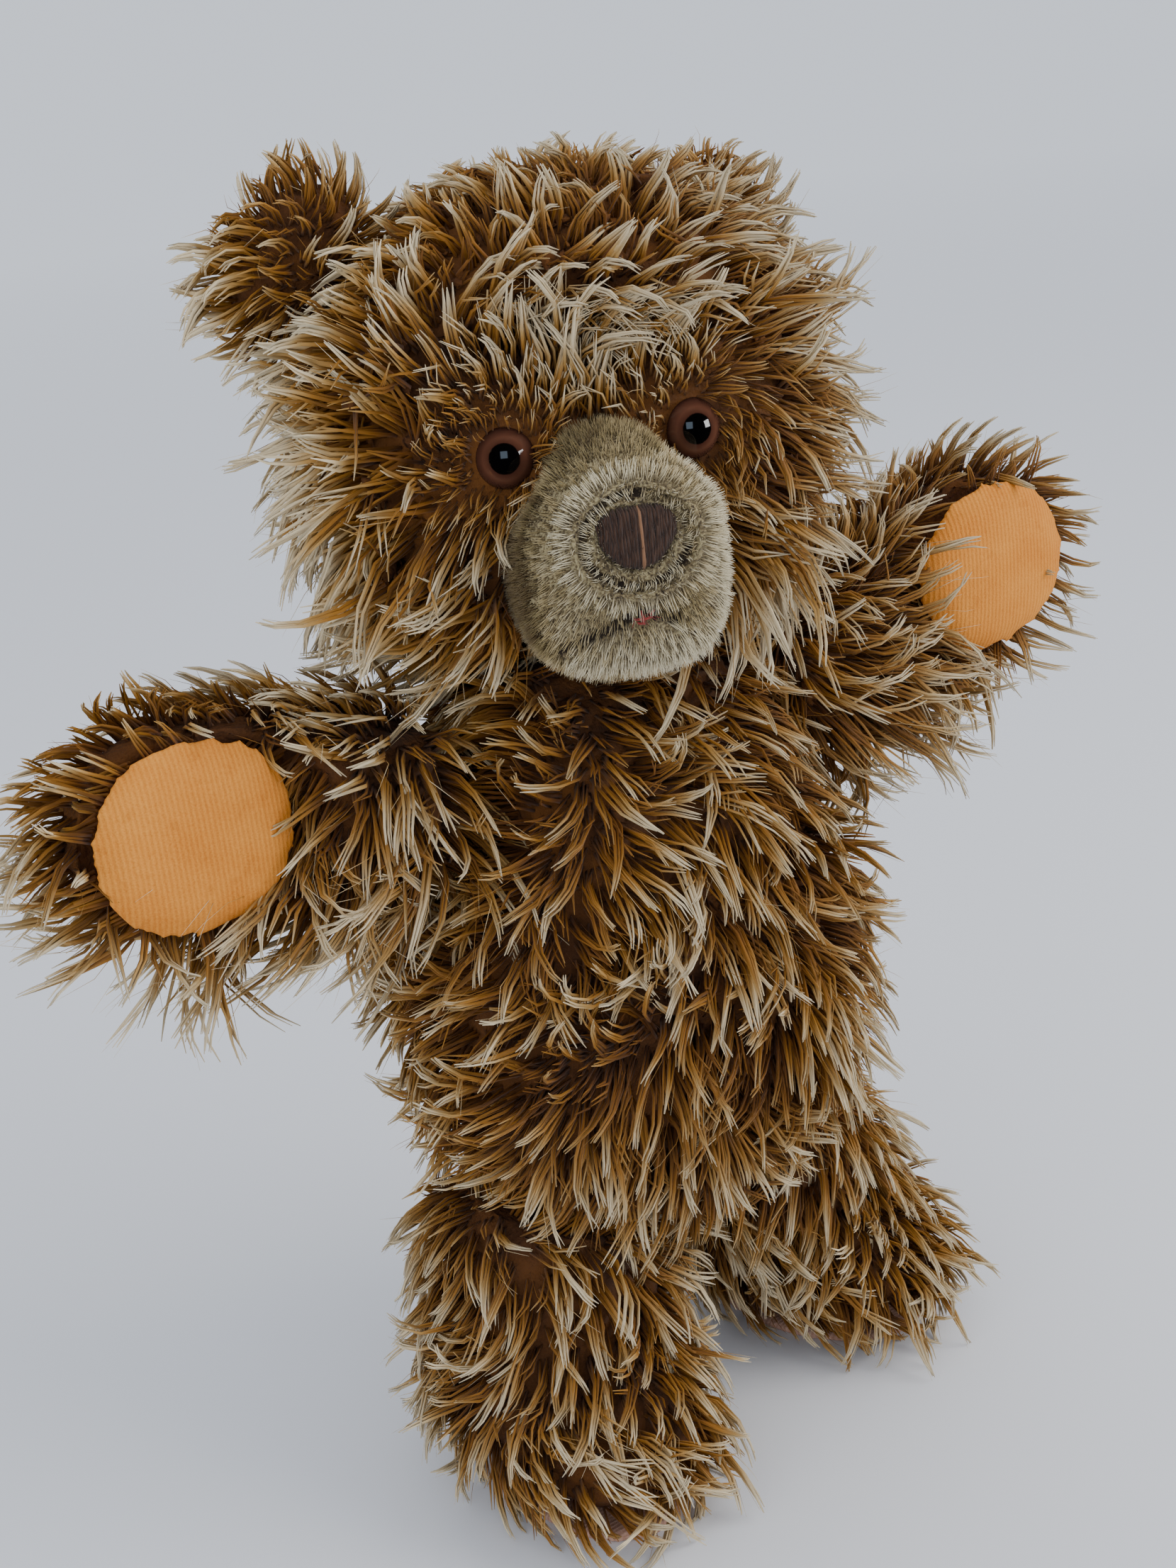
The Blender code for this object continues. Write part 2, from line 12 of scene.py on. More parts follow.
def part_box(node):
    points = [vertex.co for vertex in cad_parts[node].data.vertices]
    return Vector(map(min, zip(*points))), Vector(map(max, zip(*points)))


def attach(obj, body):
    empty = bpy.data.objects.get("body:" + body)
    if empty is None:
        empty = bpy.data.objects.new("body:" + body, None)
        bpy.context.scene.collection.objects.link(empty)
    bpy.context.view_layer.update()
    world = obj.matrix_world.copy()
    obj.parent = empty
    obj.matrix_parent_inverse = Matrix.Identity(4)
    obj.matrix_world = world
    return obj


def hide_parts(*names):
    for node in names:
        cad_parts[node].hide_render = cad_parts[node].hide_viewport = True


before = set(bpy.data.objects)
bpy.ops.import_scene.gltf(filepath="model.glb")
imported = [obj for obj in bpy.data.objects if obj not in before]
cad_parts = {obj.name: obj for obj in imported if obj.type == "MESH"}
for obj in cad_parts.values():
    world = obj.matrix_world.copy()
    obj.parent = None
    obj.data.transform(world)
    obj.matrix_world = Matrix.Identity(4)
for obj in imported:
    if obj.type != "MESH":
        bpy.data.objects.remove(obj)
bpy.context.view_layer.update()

# ---------------------------------------------------------------- covers
# The covers are the sewn woven shells, one to each stuffed part, packed firm with fibre filling. The long
# pile is woven into this cloth, so of the cloth only its dark ground shows, deep between the locks. That dark
# brown is partly the cloth's own colour and partly painted shade for the depth between the locks.

COVER_CELL = 0.0034
HEAD_CELL = COVER_CELL * 0.68
FACE_TURN = math.radians(-18)
FACE_WAY = Vector((math.sin(FACE_TURN), -math.cos(FACE_TURN), 0))
SKULL_HEIGHT = 0.281  # the height of the head's middle, without the tufts of its jaw
PAD_RADIUS = 0.027
PAD_SLOPE = 1.4  # how fast an arm's cloth may come forward again beyond its paw pad's edge


def middle_of(node):
    """The middle of a CAD node's box."""
    low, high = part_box(node)
    return (low + high) / 2


HEAD_MIDDLE = Vector((middle_of("head").x, middle_of("head").y, SKULL_HEIGHT))
EYES = {hand: middle_of("eye_" + hand) - FACE_WAY * 0.001 for hand in ("left", "right")}


def clamped(value, low=0.0, high=1.0):
    """The value, held between two ends."""
    return min(high, max(low, value))


def nearest(point, places):
    """A point's distance from the nearest of some places."""
    return min((point - at).length for at in places.values())


def head_depth(point):
    """The head's pile is deep but for the short pile round the eyes."""
    return 0.0085 * clamped((nearest(point, EYES) - 0.006) / 0.018, 0.32)


PADS = {hand: middle_of("paw_pad_" + hand) for hand in ("left", "right")}
PAD_BACKS = {hand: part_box("paw_pad_" + hand)[1][1] for hand in PADS}


def arm_depth(point):
    """The arm's cloth lies a little deeper round the paw pad, so that the pad stands clear of it."""
    return 0.007 + 0.004 * clamped((0.032 - nearest(point, PADS)) / 0.012)


def behind_pad(point):
    """A place on an arm's cloth, kept behind the paw pad that is sewn on it."""
    hand = "right" if point.x < 0 else "left"
    pad, back = PADS[hand], PAD_BACKS[hand]
    past_rim = max(0.0, math.hypot(point.x - pad.x, point.z - pad.z) - PAD_RADIUS)
    return Vector((point.x, max(point.y, back + 0.001 - PAD_SLOPE * past_rim), point.z))


# each part's depth of pile over its cloth, and how often its form is eased before it is drawn in
COVER_DEPTHS = {
    "torso": (0.0085, 26),
    "head": (head_depth, 20),
    "ear_right": (0.0030, 5),
    "ear_left": (0.0030, 5),
    "arm_right": (arm_depth, 12),
    "arm_left": (arm_depth, 12),
    "leg_right": (0.0065, 14),
    "leg_left": (0.0065, 14),
}


def finished(piece):
    """The piece with its modifiers made plain mesh, in its own place."""
    graph = bpy.context.evaluated_depsgraph_get()
    plain = bpy.data.meshes.new_from_object(piece.evaluated_get(graph))
    piece.modifiers.clear()
    piece.data = plain
    plain.name = piece.name
    return piece


def reformed(piece, cell=None, rounds=0):
    """The piece made anew in even cells and then eased, as far as each is asked, as plain mesh."""
    if cell:
        cells = piece.modifiers.new("cells", "REMESH")
        cells.mode, cells.voxel_size = "VOXEL", cell
    if rounds:
        ease = piece.modifiers.new("ease", "SMOOTH")
        ease.factor, ease.iterations = 0.5, rounds
    return finished(piece)


def placed(name, data):
    """A new object of the scene, at the origin."""
    piece = bpy.data.objects.new(name, data)
    bpy.context.scene.collection.objects.link(piece)
    return piece


def merged_copy(nodes, name):
    """A copy of one or more CAD nodes as one joined skin, under a name of its own."""
    mesh = bpy.data.meshes.new(name)
    bm = bmesh.new()
    for node in nodes:
        bm.from_mesh(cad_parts[node].data)
    bmesh.ops.remove_doubles(bm, verts=bm.verts, dist=1e-5)
    bm.to_mesh(mesh)
    bm.free()
    return placed(name, mesh)


def whole_part(piece):
    """Leaves of the piece only its largest joined part, without the crumbs that fine cells can break off."""
    bm = bmesh.new()
    bm.from_mesh(piece.data)
    left, parts = set(bm.verts), []
    while left:
        front, part = [left.pop()], []
        while front:
            vertex = front.pop()
            part.append(vertex)
            near = left.intersection(edge.other_vert(vertex) for edge in vertex.link_edges)
            left.difference_update(near)
            front.extend(near)
        parts.append(part)
    parts.sort(key=len)
    bmesh.ops.delete(bm, geom=[vertex for part in parts[:-1] for vertex in part], context="VERTS")
    bm.to_mesh(piece.data)
    bm.free()


def at_point(value, point):
    """A value that may be given as a number or as a rule that takes the point."""
    return value(point) if callable(value) else value


def drawn_in(node, depth, rounds):
    """The cloth below a node's pile: the node's form eased smooth, then drawn in by the pile's depth."""
    filled = ["muzzle", "eye_left", "eye_right"] if node == "head" else []
    piece = merged_copy([node, *filled], node + "_cover")
    reformed(piece, HEAD_CELL if node == "head" else COVER_CELL, rounds)
    whole_part(piece)
    moved = [v.co - v.normal * at_point(depth, v.co) for v in piece.data.vertices]
    if node.startswith("arm"):
        moved = [behind_pad(point) for point in moved]
    piece.data.vertices.foreach_set("co", np.array(moved, np.float32).ravel())
    reformed(piece, rounds=6)
    piece.data.shade_smooth()
    return piece


def fill(node, inputs):
    """Links or sets a node's inputs, by name or number."""
    for name, value in inputs.items():
        if isinstance(value, bpy.types.NodeSocket):
            node.id_data.links.new(value, node.inputs[name])
        else:
            node.inputs[name].default_value = value


def put(tree, kind, inputs=(), **settings):
    """A new node in the tree, with its settings made and its inputs linked or set."""
    made = tree.nodes.new(kind)
    for name, value in settings.items():
        setattr(made, name, value)
    fill(made, dict(inputs))
    return made


def tone(red, green, blue):
    """A colour named by its everyday 0 to 255 values, in the shader's own linear terms."""
    shares = [value / 255 for value in (red, green, blue)]
    linear = [v / 12.92 if v <= 0.04 else ((v + 0.055) / 1.055) ** 2.4 for v in shares]
    return (*linear, 1.0)


def new_material(name):
    """An empty material with its Principled shader, as (material, tree, shader)."""
    material = bpy.data.materials.new(name)
    material.use_nodes = True
    tree = material.node_tree
    return material, tree, tree.nodes["Principled BSDF"]


def ramp(factor, *stops):
    """A colour ramp over the factor through (position, colour) stops."""
    made = put(factor.id_data, "ShaderNodeValToRGB", {"Fac": factor})
    elements = made.color_ramp.elements
    for number, (at, colour) in enumerate(stops):
        element = elements[number] if number < 2 else elements.new(at)
        element.position, element.color = at, colour
    return made.outputs["Color"]


def place_in(tree):
    """Each point's own place on the bear."""
    return put(tree, "ShaderNodeTexCoord").outputs["Object"]


def cloud(at, scale, detail):
    """Cloudy noise from 0 to 1 over some places."""
    inputs = {"Vector": at, "Scale": scale, "Detail": detail}
    return put(at.id_data, "ShaderNodeTexNoise", inputs).outputs["Fac"]


def bumps(height, strength, distance):
    """The normals of a surface that a height raises."""
    inputs = {"Strength": strength, "Distance": distance, "Height": height}
    return put(height.id_data, "ShaderNodeBump", inputs).outputs["Normal"]


def ground_cloth(name, deep, bright):
    """Woven ground, unevenly dyed, with its rows of pile as fine bumps."""
    material, tree, shader = new_material(name)
    place = place_in(tree)
    weave = cloud(place, 900.0, 2.0)
    patch = cloud(place, 70.0, 3.0)
    fill(shader, {"Base Color": ramp(patch, (0.3, deep), (0.7, bright)), "Roughness": 0.95,
                  "Normal": bumps(weave, 0.8, 0.001)})
    return material


def dress(piece, material):
    """Gives the piece one material, in place of what it has."""
    piece.data.materials.clear()
    piece.data.materials.append(material)


def skin_of(mesh):
    """A mesh's surface, to cast lines at."""
    bm = bmesh.new()
    bm.from_mesh(mesh)
    skin = BVHTree.FromBMesh(bm)
    bm.free()
    return skin


# both ground cloths are darkened in part as painted shade for the depth below the pile
head_cloth = ground_cloth("amber ground cloth with painted shade", tone(84, 46, 8), tone(122, 72, 16))
body_cloth = ground_cloth("dark ground cloth with painted shade", tone(76, 41, 7), tone(112, 65, 13))
covers = {}
for node, (depth, rounds) in COVER_DEPTHS.items():
    covers[node] = drawn_in(node, depth, rounds)
    dress(covers[node], head_cloth if node == "head" else body_cloth)
cover_skins = {node: skin_of(piece.data) for node, piece in covers.items()}
ASKEW = Vector((0.31, 0.17, 0.94)).normalized()
MOST_CROSSINGS = 12


def within(skin, point):
    """Whether a point lies inside a closed skin, by how often a line out of it crosses the skin."""
    crossings, start = 0, point
    while crossings < MOST_CROSSINGS:
        hit = skin.ray_cast(start, ASKEW)[0]
        if hit is None:
            break
        crossings, start = crossings + 1, hit + ASKEW * 1e-5
    return crossings % 2 == 1


def buried(node, point):
    """Whether a point of one part's cloth lies inside another part."""
    return any(within(skin, point) for other, skin in cover_skins.items() if other != node)


# ---------------------------------------------------------------- long pile
# The long pile is a silky synthetic fur in locks about 4 mm wide and 27 mm long, amber at the root and pale
# at the tip. It leans the way that each part was combed, and years of handling have swirled and matted it.

LOCK_SPACING = 0.0047
LOCK_SPREAD = 0.0018
LOCK_THICK = 0.00052
FULL_LENGTH = 0.021  # what is shorter stays slim and never reaches its pale tip
MOST_DENSE = 9000000.0  # places tried on a square metre, so that the spacing alone decides how many stay
GOLDEN_ANGLE = 2.39996
FULL_CIRCLE = 6.28
START_LEAN = 0.38  # the share of its whole lean that a lock has at its root
DROOP = -0.07
FLOOR_GAP = 0.0007


def tree_of(*values):
    """The node tree of the sockets among some values."""
    return next(value for value in values if isinstance(value, bpy.types.NodeSocket)).id_data


def calc(operation, a, b=0.0, c=0.0):
    """One step of arithmetic in a tree."""
    return put(tree_of(a, b, c), "ShaderNodeMath", {0: a, 1: b, 2: c}, operation=operation).outputs[0]


def step_named(operation):
    """A step of arithmetic as a function of its own."""
    return lambda a, b=0.0, c=0.0: calc(operation, a, b, c)


plus, minus, times, divided = [step_named(kind) for kind in ("ADD", "SUBTRACT", "MULTIPLY", "DIVIDE")]
smaller, larger, power, times_plus = [
    step_named(kind) for kind in ("MINIMUM", "MAXIMUM", "POWER", "MULTIPLY_ADD")]
sine, cosine = step_named("SINE"), step_named("COSINE")


def vector_calc(operation, a, b=(0.0, 0.0, 0.0)):
    """One step of arithmetic on vectors in a tree."""
    made = put(a.id_data, "ShaderNodeVectorMath", {0: a, 1: b}, operation=operation)
    return made.outputs["Value" if operation in ("DOT_PRODUCT", "LENGTH") else "Vector"]


def added(first, *others):
    """The sum of vectors."""
    for other in others:
        first = vector_calc("ADD", first, other)
    return first


def less(a, b):
    """A vector with another taken from it."""
    return vector_calc("SUBTRACT", a, b)


def scaled(vector, by):
    """A vector made longer or shorter by a number."""
    inputs = {0: vector, "Scale": by}
    return put(vector.id_data, "ShaderNodeVectorMath", inputs, operation="SCALE").outputs["Vector"]


def vector_of(x=0.0, y=0.0, z=0.0):
    """A vector from its three numbers."""
    return put(tree_of(x, y, z), "ShaderNodeCombineXYZ", {0: x, 1: y, 2: z}).outputs[0]


def parts_of(vector):
    """A vector's three numbers."""
    return put(vector.id_data, "ShaderNodeSeparateXYZ", {0: vector}).outputs


def geo(tree, kind, inputs=(), **settings):
    """What a new geometry node in the tree gives first."""
    return put(tree, "GeometryNode" + kind, inputs, **settings).outputs[0]


def sockets_of(tree, **rows):
    """Adds a tree's inputs, each with its kind and usual value, and returns their sockets by name."""
    for name, (kind, value) in rows.items():
        made = tree.interface.new_socket(name, in_out="INPUT", socket_type="NodeSocket" + kind)
        if value is not None:
            made.default_value = value
    tree.interface.new_socket("Geometry", in_out="OUTPUT", socket_type="NodeSocketGeometry")
    return tree.nodes.new("NodeGroupInput").outputs


def stored(geometry, kind="FLOAT", domain="POINT", **fields):
    """The geometry with named attributes stored on it, one after the other."""
    tree = geometry.id_data
    for name, value in fields.items():
        inputs = {"Geometry": geometry, "Name": name, "Value": value}
        geometry = geo(tree, "StoreNamedAttribute", inputs, data_type=kind, domain=domain)
    return geometry


def named(tree, name, kind="FLOAT"):
    """A named attribute's values."""
    return put(tree, "GeometryNodeInputNamedAttribute", {"Name": name}, data_type=kind).outputs["Attribute"]


def chance(low, high, seed, which=None):
    """A random number from low to high for each element, or for each which, always the same."""
    inputs = {2: low, 3: high, "Seed": seed} | ({} if which is None else {"ID": which})
    return put(seed.id_data, "FunctionNodeRandomValue", inputs, data_type="FLOAT").outputs[1]


def strand_template(tree, strands, points):
    """Upright unit strands standing in a sunflower pattern within a unit circle."""
    index = geo(tree, "InputIndex")
    reach = power(divided(plus(index, 0.5), strands), 0.5)
    angle = times(index, GOLDEN_ANGLE)
    at = vector_of(times(reach, cosine(angle)), times(reach, sine(angle)))
    feet = geo(tree, "Points", {"Count": strands, "Position": at})
    line = geo(tree, "CurvePrimitiveLine", {"Start": (0, 0, 0), "End": (0, 0, 1)})
    line = geo(tree, "ResampleCurve", {"Curve": line, "Count": points})
    stood = geo(tree, "InstanceOnPoints", {"Points": feet, "Instance": line})
    return geo(tree, "RealizeInstances", {"Geometry": stood})


def swept(curves, sides, radius, streaks, shade, along="t"):
    """Strands given a round section, with a map: u tells strands and streaks apart, and v runs along."""
    tree = curves.id_data
    ring = geo(tree, "CurvePrimitiveCircle", {"Resolution": sides, "Radius": 1.0})
    index = geo(tree, "InputIndex")
    ring = stored(ring, around=calc("PINGPONG", divided(index, sides), 0.5))
    inputs = {"Curve": curves, "Profile Curve": ring, "Scale": radius, "Fill Caps": True}
    made = geo(tree, "CurveToMesh", inputs)
    across = times_plus(named(tree, "around"), streaks, named(tree, shade))
    return stored(made, "FLOAT2", "CORNER", OFBake=vector_of(across, named(tree, along)))


def ended(mesh, material):
    """Ends a tree, with its mesh shaded smooth, made real and given its material."""
    tree = mesh.id_data
    mesh = geo(tree, "SetShadeSmooth", {"Geometry": mesh})
    mesh = geo(tree, "RealizeInstances", {"Geometry": mesh})
    mesh = geo(tree, "SetMaterial", {"Geometry": mesh, "Material": material})
    put(tree, "NodeGroupOutput", {"Geometry": mesh})
    return tree


def lock_tree():
    """Locks of pile over a cover, whose points carry LOCK_ROWS."""
    tree = bpy.data.node_groups.new("pile locks", "GeometryNodeTree")
    given = sockets_of(
        tree,
        cover=("Geometry", None),
        spacing=("Float", LOCK_SPACING),
        strands=("Int", 4),
        points=("Int", 5),
        spread=("Float", LOCK_SPREAD),
        thickness=("Float", LOCK_THICK),
        length_share=("Float", 1.0),
        full_length=("Float", FULL_LENGTH),
        lean_share=("Float", 1.0),
        thin_out=("Float", 0.2),
        wander=("Float", 1.0),
        gather=("Float", 0.75),
        shade_shift=("Float", 0.0),
        seed=("Int", None),
        material=("Material", None),
    )
    seed, wander = given["seed"], given["wander"]

    def seeded(step):
        return plus(seed, step)

    def scalar(name):
        return named(tree, name)

    def vector(name):
        return named(tree, name, "FLOAT_VECTOR")

    # away from the partings, where the locks lie over one another, some places stay empty
    covered = times(given["thin_out"], minus(1.0, scalar("parting")))
    spots = put(tree, "GeometryNodeDistributePointsOnFaces", {
        "Mesh": given["cover"], "Distance Min": given["spacing"], "Density Max": MOST_DENSE,
        "Density Factor": times(scalar("density"), minus(1.0, covered)), "Seed": seed,
    }, distribute_method="POISSON").outputs
    at = geo(tree, "InputPosition")
    points = stored(spots["Points"], "FLOAT_VECTOR", up=spots["Normal"], root=at)
    long = times(times(scalar("length"), given["length_share"]), chance(0.78, 1.16, seed))
    lean = times_plus(wander, chance(-0.28, 0.28, seeded(4)), scalar("lean"))
    shade = plus(plus(scalar("shade"), given["shade_shift"]), chance(-0.16, 0.16, seeded(5)))
    points = stored(
        points,
        long=long,
        veer=times(wander, chance(-0.32, 0.32, seeded(1))),
        bend=times_plus(wander, chance(-0.85, 0.85, seeded(2)), scalar("curl")),
        roll=chance(0.0, FULL_CIRCLE, seeded(3)),
        whole_lean=times(given["lean_share"], lean),
        lock_shade=shade,
    )
    template = strand_template(tree, given["strands"], given["points"])
    locks = geo(tree, "InstanceOnPoints", {"Points": points, "Instance": template})
    strands = geo(tree, "RealizeInstances", {"Geometry": locks})

    # each strand knows its own place in its lock, and how far it reaches
    local = less(geo(tree, "InputPosition"), vector("root"))
    strands = stored(strands, "FLOAT_VECTOR", local=local)
    which = geo(tree, "CurveOfPoint")
    shade = plus(scalar("lock_shade"), chance(-0.06, 0.06, seeded(8), which))
    parts = parts_of(vector("local"))
    near_tip = power(larger(minus(1.0, parts[2]), 0.0), 1.4)
    strands = stored(
        strands,
        reach=chance(0.94, 1.02, seeded(6), which),
        stray=chance(-1.0, 1.0, seeded(7), which),
        stout=chance(0.72, 1.15, seeded(9), which),
        strand_shade=smaller(larger(shade, 0.0), 0.92),
        t=minus(1.0, near_tip),
        full=smaller(divided(scalar("long"), given["full_length"]), 1.0),
        along=times(scalar("t"), scalar("full")),
    )

    # the lock leaves its root half upright and leans over more and more toward its tip
    way = times(scalar("t"), scalar("reach"))
    start = times(scalar("whole_lean"), START_LEAN)
    turn = larger(minus(scalar("whole_lean"), start), 0.05)
    lean = times_plus(turn, way, start)
    over = divided(minus(cosine(start), cosine(lean)), turn)
    high = divided(minus(sine(lean), sine(start)), turn)
    up, flow = vector("up"), vector("comb")
    flow = less(flow, scaled(up, vector_calc("DOT_PRODUCT", flow, up)))
    flow = vector_calc("NORMALIZE", flow)
    aside = vector_calc("CROSS_PRODUCT", up, flow)
    comb = added(scaled(flow, cosine(scalar("veer"))), scaled(aside, sine(scalar("veer"))))
    side = vector_calc("CROSS_PRODUCT", up, comb)
    above = less(scaled(up, sine(lean)), scaled(comb, cosine(lean)))

    # it also bends to one side as an arc does, with a little wave in it, and droops
    bend = times(times_plus(scalar("stray"), times(wander, 0.16), scalar("bend")), way)
    square = times_plus(bend, bend, 1e-6)
    ahead = divided(times_plus(sine(bend), bend, 1e-6), square)
    across = divided(times(minus(1.0, cosine(bend)), bend), square)
    wave = minus(sine(times_plus(way, 4.5, scalar("roll"))), sine(scalar("roll")))
    wave = times(wave, times_plus(scalar("stray"), 0.02, 0.04))
    sway = times_plus(over, across, wave)
    centre = added(scaled(comb, times(over, ahead)), scaled(up, high), scaled(side, sway),
                   vector_of(z=times(times(way, way), DROOP)))
    centre = scaled(centre, scalar("long"))

    # its strands lie side by side round that line, and part a little at their tips
    spin = times_plus(way, 0.9, scalar("roll"))
    off_x = minus(times(parts[0], cosine(spin)), times(parts[1], sine(spin)))
    off_y = plus(times(parts[0], sine(spin)), times(parts[1], cosine(spin)))
    off = added(scaled(side, times(off_x, 1.2)), scaled(above, times(off_y, 0.7)))
    gather = times(power(way, 1.1), given["gather"])
    spread = times(given["spread"], minus(1.0, gather))
    laid = added(vector("root"), centre, scaled(off, spread))
    laid = vector_calc("MAXIMUM", laid, (-9.0, -9.0, FLOOR_GAP))
    strands = geo(tree, "SetPosition", {"Geometry": strands, "Position": laid})

    # a strand keeps its width to near its blunt tip, and a short one is slim
    blunt = power(times_plus(power(scalar("t"), 4.0), -0.90, 1.0), 0.6)
    slim = times_plus(scalar("t"), -0.10, 1.0)
    stout = times(scalar("stout"), times_plus(scalar("full"), 0.5, 0.5))
    radius = times(times(given["thickness"], stout), larger(times(blunt, slim), 0.12))
    return ended(swept(strands, 3, radius, 0.035, "strand_shade", "along"), given["material"])


def with_growth(piece, tree, values):
    """Puts a tree on the piece, with its inputs set by name."""
    growth = piece.modifiers.new("growth", "NODES")
    growth.node_group = tree
    for row in tree.interface.items_tree:
        if row.item_type == "SOCKET" and row.in_out == "INPUT" and row.name in values:
            growth[row.identifier] = values[row.name]


def grown(name, cover, tree, **values):
    """The plain mesh that a tree grows on a cover, as a piece of its own."""
    piece = placed(name, cover.data.copy())
    piece.data.materials.clear()
    with_growth(piece, tree, values)
    finished(piece)
    for held in [a.name for a in piece.data.attributes if not a.is_internal and not a.is_required]:
        if held not in ("OFBake", "sharp_face", "material_index"):
            piece.data.attributes.remove(piece.data.attributes[held])
    return piece


def map_in(tree):
    """A strand's own map: which strand and streak it is, and how far along."""
    return parts_of(put(tree, "ShaderNodeUVMap", uv_map="OFBake").outputs[0])[:2]


pile_material, tree, shader = new_material("tipped long pile")
strand, along = map_in(tree)
fine = cloud(vector_of(times(strand, 900.0), times(along, 1.6)), 1.0, 1.5)
broad = cloud(vector_of(times(strand, 60.0), 0.5), 1.0, 0.0)
tip = plus(along, times(minus(fine, 0.5), 0.60))
tip = plus(tip, times(minus(strand, 0.5), 0.80))
tip = plus(tip, times(minus(broad, 0.5), 0.20))
fur = ramp(tip, (0.0, tone(106, 60, 12)), (0.30, tone(138, 86, 20)), (0.56, tone(168, 114, 36)),
           (0.72, tone(192, 152, 88)), (0.88, tone(214, 190, 146)), (1.0, tone(226, 208, 172)))
dark = smaller(larger(times_plus(fine, 2.4, -0.25), 0.64), 1.08)
fill(shader, {"Base Color": scaled(fur, dark), "Normal": bumps(fine, 0.4, 0.0003),
              "Roughness": 0.62, "Diffuse Roughness": 1.0, "Specular IOR Level": 0.25,
              "Sheen Weight": 0.08, "Sheen Roughness": 0.4})


def face_share(point):
    """How far round from the face a point of the head is: 1 at the nose, 0 at the side, -1 at the back."""
    return (point - HEAD_MIDDLE).normalized().dot(FACE_WAY)


# the parts sewn on over the covers, and how far over a cover's place each still hides it
PATCHES = {"muzzle": 0.005, "paw_pad_right": 0.014, "paw_pad_left": 0.014, "sole_pad_right": 0.014,
           "sole_pad_left": 0.014}
PATCH_EDGE = 0.95  # the pile grows out from under a paw pad's edge, from this share of its reach
patch_skins = {node: skin_of(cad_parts[node].data) for node in PATCHES}
patch_boxes = {node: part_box(node) for node in PATCHES}


def under_patch(point, normal):
    """Whether a place of a cover lies under the muzzle or a pad, but for the edges of the paw pads."""
    for node, skin in patch_skins.items():
        if skin.ray_cast(point, normal, PATCHES[node])[0]:
            low, high = patch_boxes[node]
            off, half = point - (low + high) / 2, (high - low) / 2
            if not node.startswith("paw") or math.hypot(off.x / half.x, off.z / half.z) < PATCH_EDGE:
                return True
    return False


def keep_rows(mesh, rows):
    """Stores one value for each point of a mesh under each name, and a vector under comb."""
    for name, values in rows.items():
        held = mesh.attributes.new(name, "FLOAT_VECTOR" if name == "comb" else "FLOAT", "POINT")
        held.data.foreach_set("vector" if name == "comb" else "value", np.array(values, np.float32).ravel())


# each point's way of the pile, its length, its lean from upright in radians, its curl, how pale it is, how
# likely it is to grow there, and how much its ways part there
LOCK_ROWS = ("comb", "length", "lean", "curl", "shade", "density", "parting")
FULL_PARTING = 80.0  # where the ways part this fast, per metre, the pile is thickest and most upright
START_REACH = 0.012  # no locks lie over a place this near to where its part comes out of the next one
SWIRLS, CLUMPS, CURLS, SHADES = 32.0, 55.0, 50.0, 34.0  # in a metre
FULL_CURL = 3.4
BACK_SHORTER = 0.22  # the share that rubbing took off the pile of the back


def parting(mesh, ways):
    """How fast the pile's ways part at each point of a cover, per metre."""
    points = np.array([vertex.co for vertex in mesh.vertices])
    ends = np.array([edge.vertices[:] for edge in mesh.edges])
    gap = points[ends[:, 1]] - points[ends[:, 0]]
    change = np.array(ways)[ends[:, 1]] - np.array(ways)[ends[:, 0]]
    rate = (change * gap).sum(1) / np.maximum((gap * gap).sum(1), 1e-9)
    total, count = np.zeros(len(points)), np.full(len(points), 1e-6)
    for side in (0, 1):
        np.add.at(total, ends[:, side], rate)
        np.add.at(count, ends[:, side], 1)
    return 2 * total / count


def groomed(node, flow, length, lean, shade, swirl=0.6, bare=()):
    """Gives a part's cover the ways, lengths and places of its locks."""
    mesh = covers[node].data
    rows = {name: [] for name in LOCK_ROWS}
    for vertex in mesh.vertices:
        point, normal = vertex.co.copy(), vertex.normal.copy()
        way = flow(point)
        way -= normal * way.dot(normal)
        if way.length < 1e-4:
            way = normal.orthogonal()
        way.normalize()
        spot = point * SWIRLS
        turn = swirl * (2.2 * noise.noise(spot) + 0.4 * noise.noise(spot * 2.7))
        clump = noise.noise(point * CLUMPS + Vector((9, 0, 0)))
        back = 1 - BACK_SHORTER * clamped((point.y - 0.040) / 0.020)
        rows["comb"].append(Matrix.Rotation(turn, 3, normal) @ way)
        rows["length"].append(at_point(length, point) * (1 + 0.20 * clump) * back)
        rows["lean"].append(at_point(lean, point) - 0.34 * clump)
        rows["curl"].append(FULL_CURL * noise.noise(point * CURLS + Vector((0, 5, 0))))
        rows["shade"].append(shade + 0.30 * noise.noise(point * SHADES) + 0.18 * clump)
        hidden = buried(node, point) or within(patch_skins["muzzle"], point) or under_patch(point, normal)
        hidden = hidden or any((point - at).length < reach for at, reach in bare)
        rows["density"].append(0.0 if hidden else 1.0)
    start = [buried(node, vertex.co - way * START_REACH) for vertex, way in zip(mesh.vertices, rows["comb"])]
    rows["parting"] = np.maximum(np.clip(parting(mesh, rows["comb"]) / FULL_PARTING, 0.0, 1.0), start)
    rows["lean"] = np.array(rows["lean"]) - 0.20 * rows["parting"]
    keep_rows(mesh, rows)


TORSO_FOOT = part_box("torso")[0][2]
TORSO_PARTING = -0.01  # how far across the bear the middle of its chest's parting lies


def torso_flow(point):
    """The torso's pile hangs, and falls away a little to both sides from a wandering middle."""
    wander = 0.05 * noise.noise(point * 26)
    return Vector(((point.x - TORSO_PARTING + wander) * 9.0 - 0.25, 0.0, -0.9))


def torso_length(point):
    """The torso's pile hangs longest over the tops of the legs."""
    return 0.0225 + 0.007 * clamped((TORSO_FOOT + 0.035 - point.z) / 0.025)


